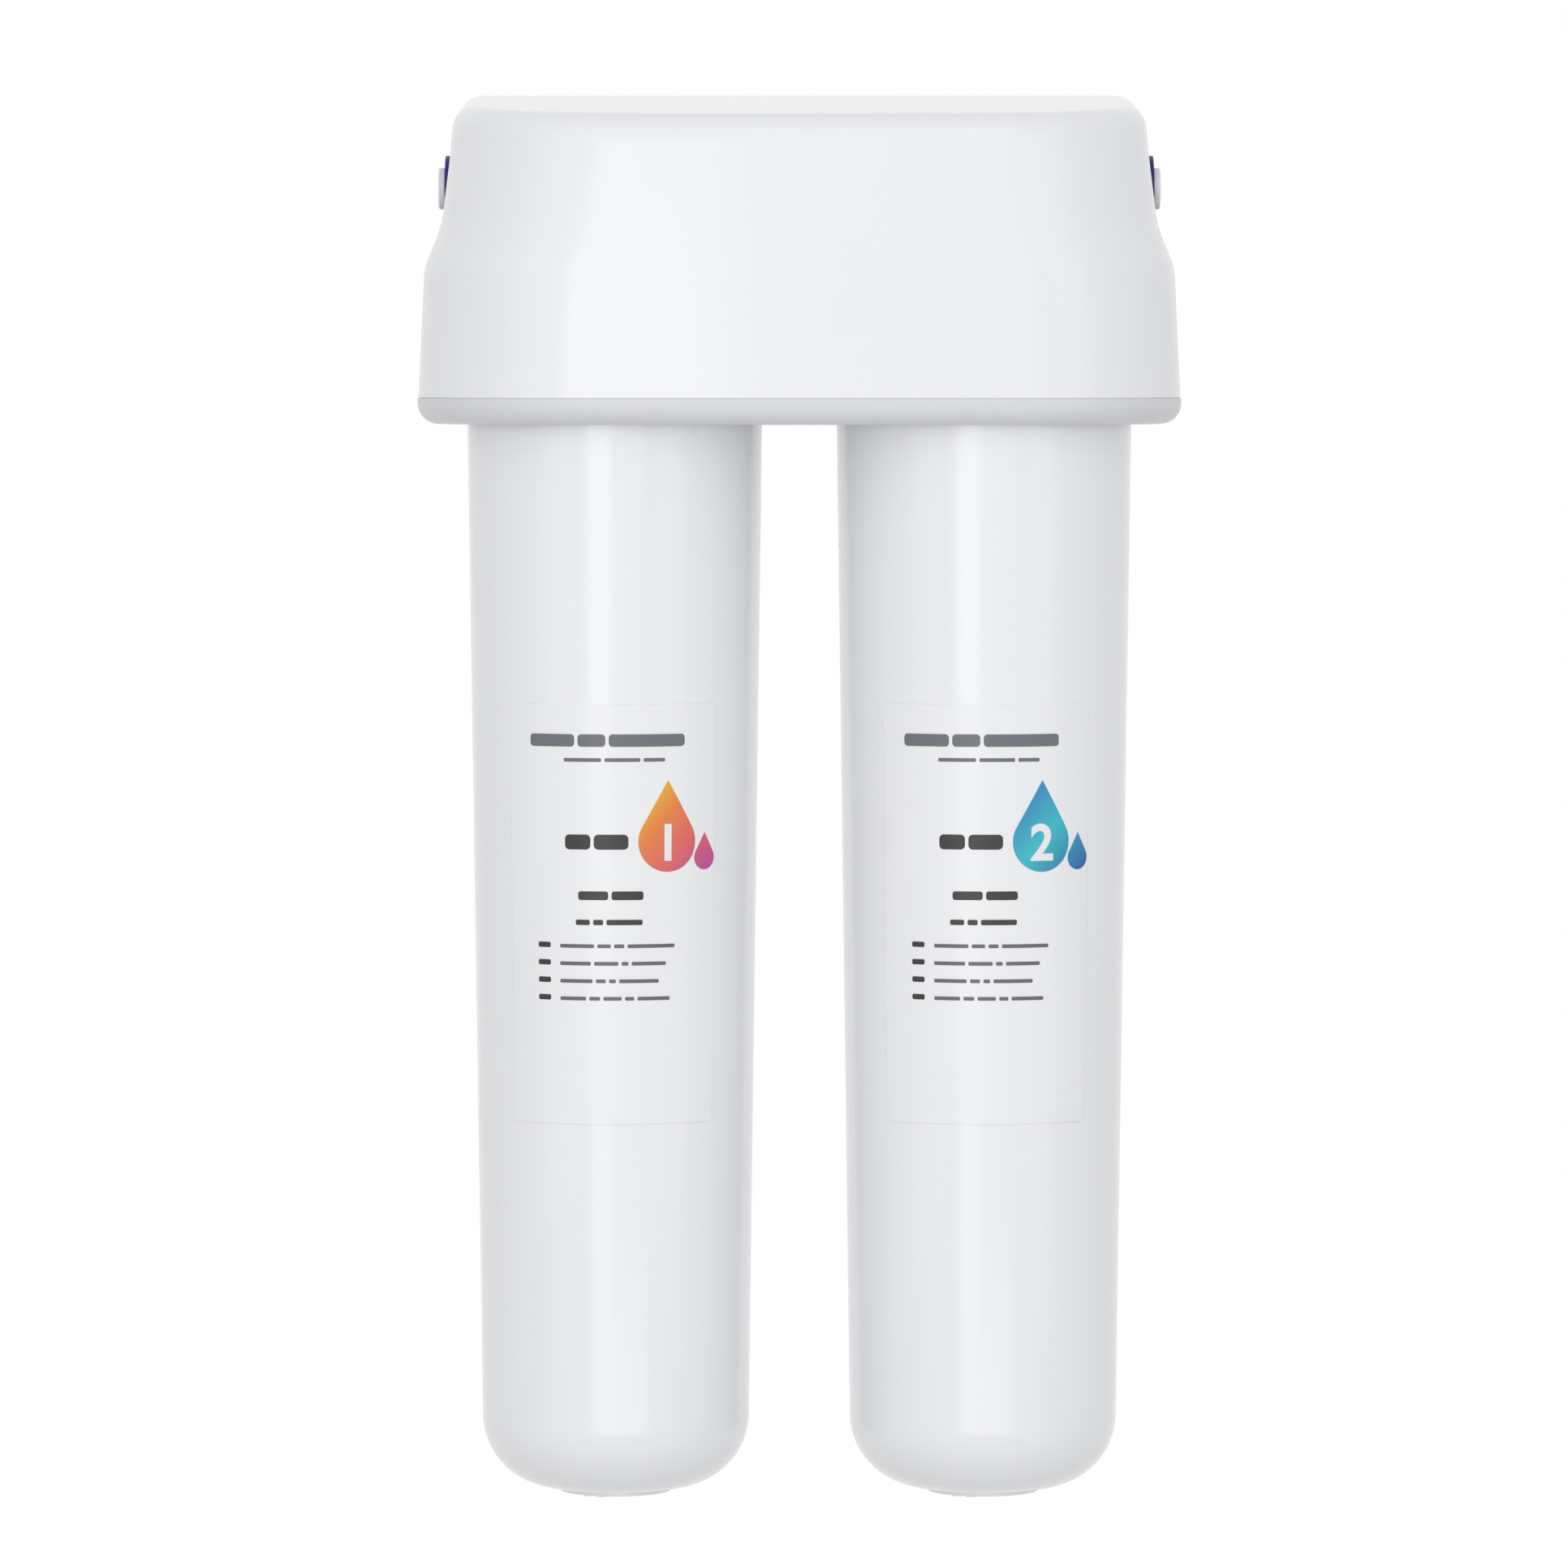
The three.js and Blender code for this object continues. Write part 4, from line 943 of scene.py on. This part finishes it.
def valve_poppet():
    flange_bottom = poppet_flange_underside
    flange_top = flange_bottom + poppet_flange_thickness
    pilot_top = flange_top + poppet_pilot_height
    profile = [(0, poppet_bottom), (poppet_stem_radius, poppet_bottom),
               (poppet_stem_radius, flange_bottom), (poppet_flange_radius, flange_bottom),
               (poppet_flange_radius, flange_top), (poppet_pilot_radius, flange_top),
               (poppet_pilot_radius, pilot_top), (0, pilot_top)]
    return lathe("poppet", rounded(profile, poppet_edge), 48)


# Cartridge

def shell_radius_at(z):
    low = shell_bottom + foot_height + shell_corner_radius
    share = (z - low) / (tray_underside - low)
    return shell_foot_radius + (shell_mouth_radius - shell_foot_radius) * share


def cartridge_shell():
    """A tapered shell with a domed foot, and under it a low disc with two moulded bars."""
    corner = shell_foot_radius - shell_corner_radius
    corner_level = shell_bottom + foot_height + shell_corner_radius
    centre = (corner, corner_level)
    disc = shell_bottom + foot_bar_height
    mouth = shell_radius_at(shell_top)
    meet = acos((foot_radius - corner) / shell_corner_radius)
    dome = arc(centre, shell_corner_radius, -meet, 0, 39)
    wall = [(shell_radius_at(z), z) for z in np.linspace(corner_level, shell_top, 30)[1:-1]]
    inside = arc(centre, shell_corner_radius - shell_wall, 0, -pi / 2, 19)
    foot = rounded([(0, disc), (foot_radius, disc), (foot_radius, dome[0][1])], foot_edge)
    profile = [*foot[:-1], *dome, *wall, (mouth, shell_top), (mouth - shell_wall, shell_top),
               *inside, (0, inside[-1][1])]
    bars = [extruded("bar", box_outline(x - foot_bar_width / 2, x + foot_bar_width / 2,
                                        -front, -foot_bar_rear),
                     shell_bottom, disc + foot_bar_root, foot_bar_edge)
            for x, front in foot_bar_places]
    return combine(lathe("shell", profile, 160), "UNION", bars)


def groove(radius, top, depth, width):
    """A seal's groove in a profile that runs down a cylinder."""
    return [(radius, top), (radius - depth, top), (radius - depth, top - width), (radius, top - width)]


def cartridge_lid():
    """The shell's lid: a plug with a boss under it, and the nipple, neck and lugs on top."""
    mouth = shell_radius_at(shell_top)
    flange = shell_top + gap
    edge = mouth - gap
    plug = mouth - shell_wall - slide_gap
    plate_underside = flange - lid_plate
    plug_bottom, boss_bottom = flange - lid_plug_depth, flange - lid_boss_depth
    profile = [
        (nipple_bore, nipple_top), (nipple_radius, nipple_top),
        *groove(nipple_radius, nipple_top - nipple_seal_drop,
                nipple_seal_groove_depth, nipple_seal_groove_width),
        (nipple_radius, neck_top), (neck_radius, neck_top),
        *groove(neck_radius, neck_top - neck_seal_drop, seal_groove_depth, seal_groove_width),
        (neck_radius, lid_top), (edge - lid_flange_slope, flange + lid_flange_edge + lid_flange_slope),
        (edge, flange + lid_flange_edge), (edge, flange), (plug, flange), (plug, plug_bottom),
        (plug - lid_plug_wall, plug_bottom), (plug - lid_plug_wall, plate_underside),
        (lid_boss_radius, plate_underside), (lid_boss_radius, boss_bottom),
        (nipple_bore, boss_bottom)]
    lid = lathe("lid", rounded(profile, lid_edge, ring=True, steps=3), 96, ring=True)
    combine(lid, "UNION", lugs())
    holes = []
    for k in range(neck_ports):
        angle = (k + 0.5) / neck_ports * 2 * pi
        hole = rod(neck_port_radius, plate_underside - overrun, neck_top + overrun)
        holes.append(moved(hole, neck_port_circle * cos(angle), neck_port_circle * sin(angle)))
    return combine(lid, "DIFFERENCE", holes)


# Labels: shapes drawn flat, u across and v up from the label's middle, then wrapped round the shell

label_middle = label_top - label_height / 2
label_radius = shell_radius_at(label_middle)
label_half_width = label_radius * label_half_angle
label_corner = 1.0
wrap_step = 1.5

print_thickness = 0.03
print_root = 0.01

drop_place = (13.4, 17.4)
drop_height = 22.0
drop_roundness = 0.33
small_drop_place = (23.4, 13.4)
small_drop_height = 9.0
colour_reach = Vector((9, 0, -8))

digit_height = 8.6
digit_size = 1.4 * digit_height
digit_weight = 0.3
digit_relief = 0.6 * print_thickness

word_space = 0.8
word_roundness = 0.3

# A row of words is its left end, its level, its height and the words' lengths
title_rows = ((-20.4, 40.2, 3.0, (11.4, 6.6, 18.4)), (-11.6, 36.6, 0.9, (9.0, 8.4, 5.2)))
heading_rows = ((-11.4, 15.6, 3.6, (6.2, 8.2)), (-8.2, 3.5, 2.1, (7.2, 7.6)),
                (-8.8, -2.5, 1.3, (3.4, 2.4, 8.6)))

# The lines below the headings, each a short code and some words
line_top = -8.0
line_pitch = 4.2
line_start = -12.8
line_height = 0.9
line_lengths = ((8.4, 3.2, 2.4, 11.6), (7.6, 5.8, 1.6, 8.4), (8.0, 2.4, 1.6, 9.6),
                (6.4, 2.6, 4.4, 2.2, 8.0))
code_start = -18.6
code_height = 1.3
code_length = 3.3
line_levels = [line_top - line_pitch * k for k in range(len(line_lengths))]
code_rows = [(code_start, level, code_height, (code_length,)) for level in line_levels]
line_rows = [(line_start, level, line_height, lengths)
             for level, lengths in zip(line_levels, line_lengths)]


def round_shell(side, u, level, radius):
    """The point at a level that lies a way u round the shell, at a radius."""
    angle = u / label_radius
    return Vector((side * filter_pitch / 2 + radius * sin(angle),
                   -filter_to_wall - radius * cos(angle), level))


def wrapped(obj, side):
    """Bends a flat drawing, its thickness along Z, round the shell."""
    work = bmesh.new()
    work.from_mesh(obj.data)
    for u in np.arange(-label_half_width, label_half_width, wrap_step):
        everything = [*work.verts, *work.edges, *work.faces]
        bmesh.ops.bisect_plane(work, geom=everything, plane_co=(u * MM, 0, 0), plane_no=(1, 0, 0))
    for vert in work.verts:
        u, v, lift = vert.co / MM
        level = label_middle + v
        vert.co = round_shell(side, u, level, shell_radius_at(level) + label_lift + lift) * MM
    work.to_mesh(obj.data)
    work.free()
    return obj


def printed(name, outlines, side):
    """Flat outlines as one raised print on the label."""
    low, high = label_thickness - print_root, label_thickness + print_thickness
    return wrapped(join(name, [extruded("print", outline, low, high) for outline in outlines]), side)


def digit(text, side):
    """The stage's number, centred on the drop."""
    curve = bpy.data.curves.new("digit", "FONT")
    curve.body = text
    curve.size = digit_size * MM
    curve.align_x = "CENTER"
    curve.offset = digit_weight * MM
    curve.extrude = digit_relief * MM
    drawn = new_object("digit", curve)
    graph = bpy.context.evaluated_depsgraph_get()
    mesh = bpy.data.meshes.new_from_object(drawn.evaluated_get(graph))
    bpy.data.objects.remove(drawn)
    u, v = drop_place
    obj = moved(new_object("digit", mesh), u, v - digit_height / 2, label_thickness + print_thickness)
    return wrapped(obj, side)


def drop_outline(place, height):
    """A water drop with its point up, round a circle centred at its place."""
    u, v = place
    radius = height * drop_roundness
    tip = height - 2 * radius
    lean = acos(radius / (radius + tip))
    return [(u, v + radius + tip), *arc(place, radius, pi / 2 + lean, 2.5 * pi - lean, 48)]


def words(rows):
    """Rows of bars that stand for words."""
    bars = []
    for u, v, height, lengths in rows:
        for length in lengths:
            bars.append(box_outline(u, u + length, v, v + height, height * word_roundness))
            u += length + word_space
    return bars


def ink(name, colour, patch=0.05):
    return plastic(f"ink_{name}", colour, ink_roughness, grain=0.002, patch=patch)


inks = {
    "slate": ink("slate", (0.15, 0.155, 0.18)),
    "black": ink("black", (0.022, 0.022, 0.024)),
    "text": ink("text", (0.13, 0.13, 0.135)),
    "white": ink("white", (0.86, 0.86, 0.86), patch=0.01),
}
drop_colours = {
    "left": ((0.78, 0.50, 0.016), (0.80, 0.22, 0.04), (0.73, 0.12, 0.13), (0.48, 0.06, 0.32)),
    "right": ((0.024, 0.155, 0.50), (0.037, 0.50, 0.58), (0.01, 0.10, 0.38)),
}
prints = {
    "title": (words(title_rows), inks["slate"]),
    "bold": (words([*heading_rows, *code_rows]), inks["black"]),
    "lines": (words(line_rows), inks["text"]),
}
drops = (drop_outline(drop_place, drop_height), drop_outline(small_drop_place, small_drop_height))


def cartridge_label(hand, side, number):
    """A plain label with a generic design: a drop with the stage's number, and bars for words."""
    body = f"{hand}_cartridge"
    outline = box_outline(-label_half_width, label_half_width, -label_height / 2, label_height / 2,
                          label_corner)
    film = wrapped(extruded("film", outline, 0, label_thickness), side)
    finish(film, f"{hand}_label_film", body, "label_film", f"{hand}_label")
    for name, (outlines, look) in prints.items():
        finish(printed(name, outlines, side), f"{hand}_print_{name}", body, "label_film", look=look)
    u, v = drop_place
    centre = round_shell(side, u, label_middle + v, label_radius)
    colours = fade(f"{hand}_colours", drop_colours[hand], centre - colour_reach, centre + colour_reach)
    finish(printed("drops", drops, side), f"{hand}_print_drops", body, "label_film", look=colours)
    finish(digit(number, side), f"{hand}_stage_number", body, "label_film", look=inks["white"])


# Assembly

finish(head_cover(), "cover_skin", "cover", "cover_white", "head_cover")
finish(base_tray(), "tray_skin", "head", "tray_grey", "base_tray")
finish(mounting_bracket(), "wall_bracket", "head", "structure_white", "mounting_bracket")
finish(crossover_pipe(), "pipe_between_heads", "head", "structure_white", "crossover_pipe")
for node, (x, y) in screw_places.items():
    finish(moved(screw(), x, y, deck_top + gap), f"{node}_detail", "head", "screw_steel", node)

for hand, port, side in HANDS:
    axis = (side * filter_pitch / 2, -filter_to_wall, 0)
    at_port = (axis[0], -port_to_wall, port_level)
    cartridge = f"{hand}_cartridge"
    finish(moved(cartridge_head(side), *axis), f"{hand}_socket", "head", "structure_white",
           f"{hand}_cartridge_head")
    finish(moved(valve_poppet(), *axis), f"{hand}_poppet", f"{hand}_valve", "cap_white",
           f"{hand}_valve_poppet")
    finish(moved(along_x(port_body(), side), *at_port), f"{port}_fitting", "head", "structure_white",
           f"{port}_port_body")
    finish(moved(along_x(port_collet(), side), *at_port), f"{port}_collet_ring", "head", "collet_grey",
           f"{port}_collet")
    clip_place = side * (port_mouth + gap + clip_thickness / 2)
    finish(moved(lock_clip(), axis[0] + clip_place, -port_to_wall, port_level), f"{port}_clip_plate",
           f"{port}_clip", "clip_blue", f"{port}_lock_clip")
    finish(moved(cartridge_shell(), *axis), f"{hand}_shell_body", cartridge, "shell_white",
           f"{hand}_cartridge_shell")
    finish(moved(cartridge_lid(), *axis), f"{hand}_lid_body", cartridge, "shell_white",
           f"{hand}_cartridge_lid")

for number, (hand, _, side) in enumerate(HANDS, 1):
    cartridge_label(hand, side, str(number))

# The nodes that stay as they are get their finish
for row in frame["record"]["subparts"]:
    obj = frame["nodes"][row["node"]]
    if not obj.hide_render:
        obj.data.materials.clear()
        obj.data.materials.append(looks[row["material_slot"]])
        obj.data.polygons.foreach_set("use_smooth", [True] * len(obj.data.polygons))


# Camera, at the photograph's place

camera_place = (-3.74, -1995, -40)
camera_tilt = radians(3.00867)
camera_lens = 184.44
camera_range = 50000

camera = new_object("camera", bpy.data.cameras.new("camera"))
camera.location = Vector(camera_place) * MM
camera.rotation_euler = (pi / 2 - camera_tilt, 0, 0)
camera.data.lens = camera_lens
camera.data.clip_end = camera_range * MM
scene.camera = camera


# Floor, well below the hanging filter, and a white backdrop that only the camera, gloss and glass see

floor_drop = 300
floor_reach = 6000
floor_tone = 0.7
floor_roughness = 0.9
sky_colour = (0.985, 0.99, 1.0)
sky_strength = 0.654


def seen_as_white(tree, lit, white, output):
    """The camera, gloss and glass see the white shader, and the rest of the light the lit one."""
    path = tree.nodes.new("ShaderNodeLightPath")
    seen = path.outputs["Is Camera Ray"]
    for ray in ("Is Glossy Ray", "Is Transmission Ray"):
        either = tree.nodes.new("ShaderNodeMath")
        either.operation = "MAXIMUM"
        tree.links.new(seen, either.inputs[0])
        tree.links.new(path.outputs[ray], either.inputs[1])
        seen = either.outputs["Value"]
    mix = tree.nodes.new("ShaderNodeMixShader")
    tree.links.new(seen, mix.inputs["Fac"])
    tree.links.new(lit, mix.inputs[1])
    tree.links.new(white, mix.inputs[2])
    tree.links.new(mix.outputs["Shader"], tree.nodes[output].inputs["Surface"])


corners = box_outline(-floor_reach, floor_reach, -floor_reach, floor_reach)
floor = mesh_object("floor", [(x, y, shell_bottom - floor_drop) for x, y in corners], [(0, 1, 2, 3)])
floor_material, floor_tree, floor_shader = new_material("floor")
floor_shader.inputs["Base Color"].default_value = (floor_tone, floor_tone, floor_tone, 1)
floor_shader.inputs["Roughness"].default_value = floor_roughness
floor_white = floor_tree.nodes.new("ShaderNodeEmission")
seen_as_white(floor_tree, floor_shader.outputs["BSDF"], floor_white.outputs["Emission"],
              "Material Output")
floor.data.materials.append(floor_material)

world = bpy.data.worlds.new("studio")
scene.world = world
world.use_nodes = True
sky = world.node_tree
sky_light = sky.nodes["Background"]
sky_light.inputs["Color"].default_value = (*sky_colour, 1)
sky_light.inputs["Strength"].default_value = sky_strength
sky_white = sky.nodes.new("ShaderNodeBackground")
sky_white.inputs["Color"].default_value = (1, 1, 1, 1)
sky_white.inputs["Strength"].default_value = 1
seen_as_white(sky, sky_light.outputs["Background"], sky_white.outputs["Background"], "World Output")


# Lamps, in degrees, metres and watts. Azimuth 0 is the front, and 90 is the right.

def softbox(name, azimuth, elevation, distance, size, power):
    """A soft lamp aimed at the object's middle."""
    light = bpy.data.lights.new(name, "AREA")
    light.shape = "RECTANGLE"
    light.size, light.size_y = size
    light.energy = power
    turn, rise = radians(azimuth), radians(elevation)
    way = Vector((sin(turn) * cos(rise), -cos(turn) * cos(rise), sin(rise)))
    middle = Vector((0, -filter_to_wall, (shell_bottom + crown_level) / 2)) * MM
    obj = new_object(name, light)
    obj.location = middle + way * distance
    obj.rotation_euler = way.to_track_quat("Z", "Y").to_euler()


softbox("wall_of_light", -2, 20, 2.8, (3.0, 2.6), 15.2)
softbox("key", -12, -6, 2.6, (0.8, 1.4), 6.3)
softbox("low_card", 4, -20, 1.25, (1.0, 0.3), 1.45)
softbox("left_fill", -45, 2, 2.4, (1.0, 1.8), 2.5)
softbox("right_fill", 45, 0, 2.4, (1.0, 1.8), 3.2)
softbox("top_light", 0, 48, 2.4, (1.6, 1.0), 1.6)

scene.view_settings.view_transform = "Standard"
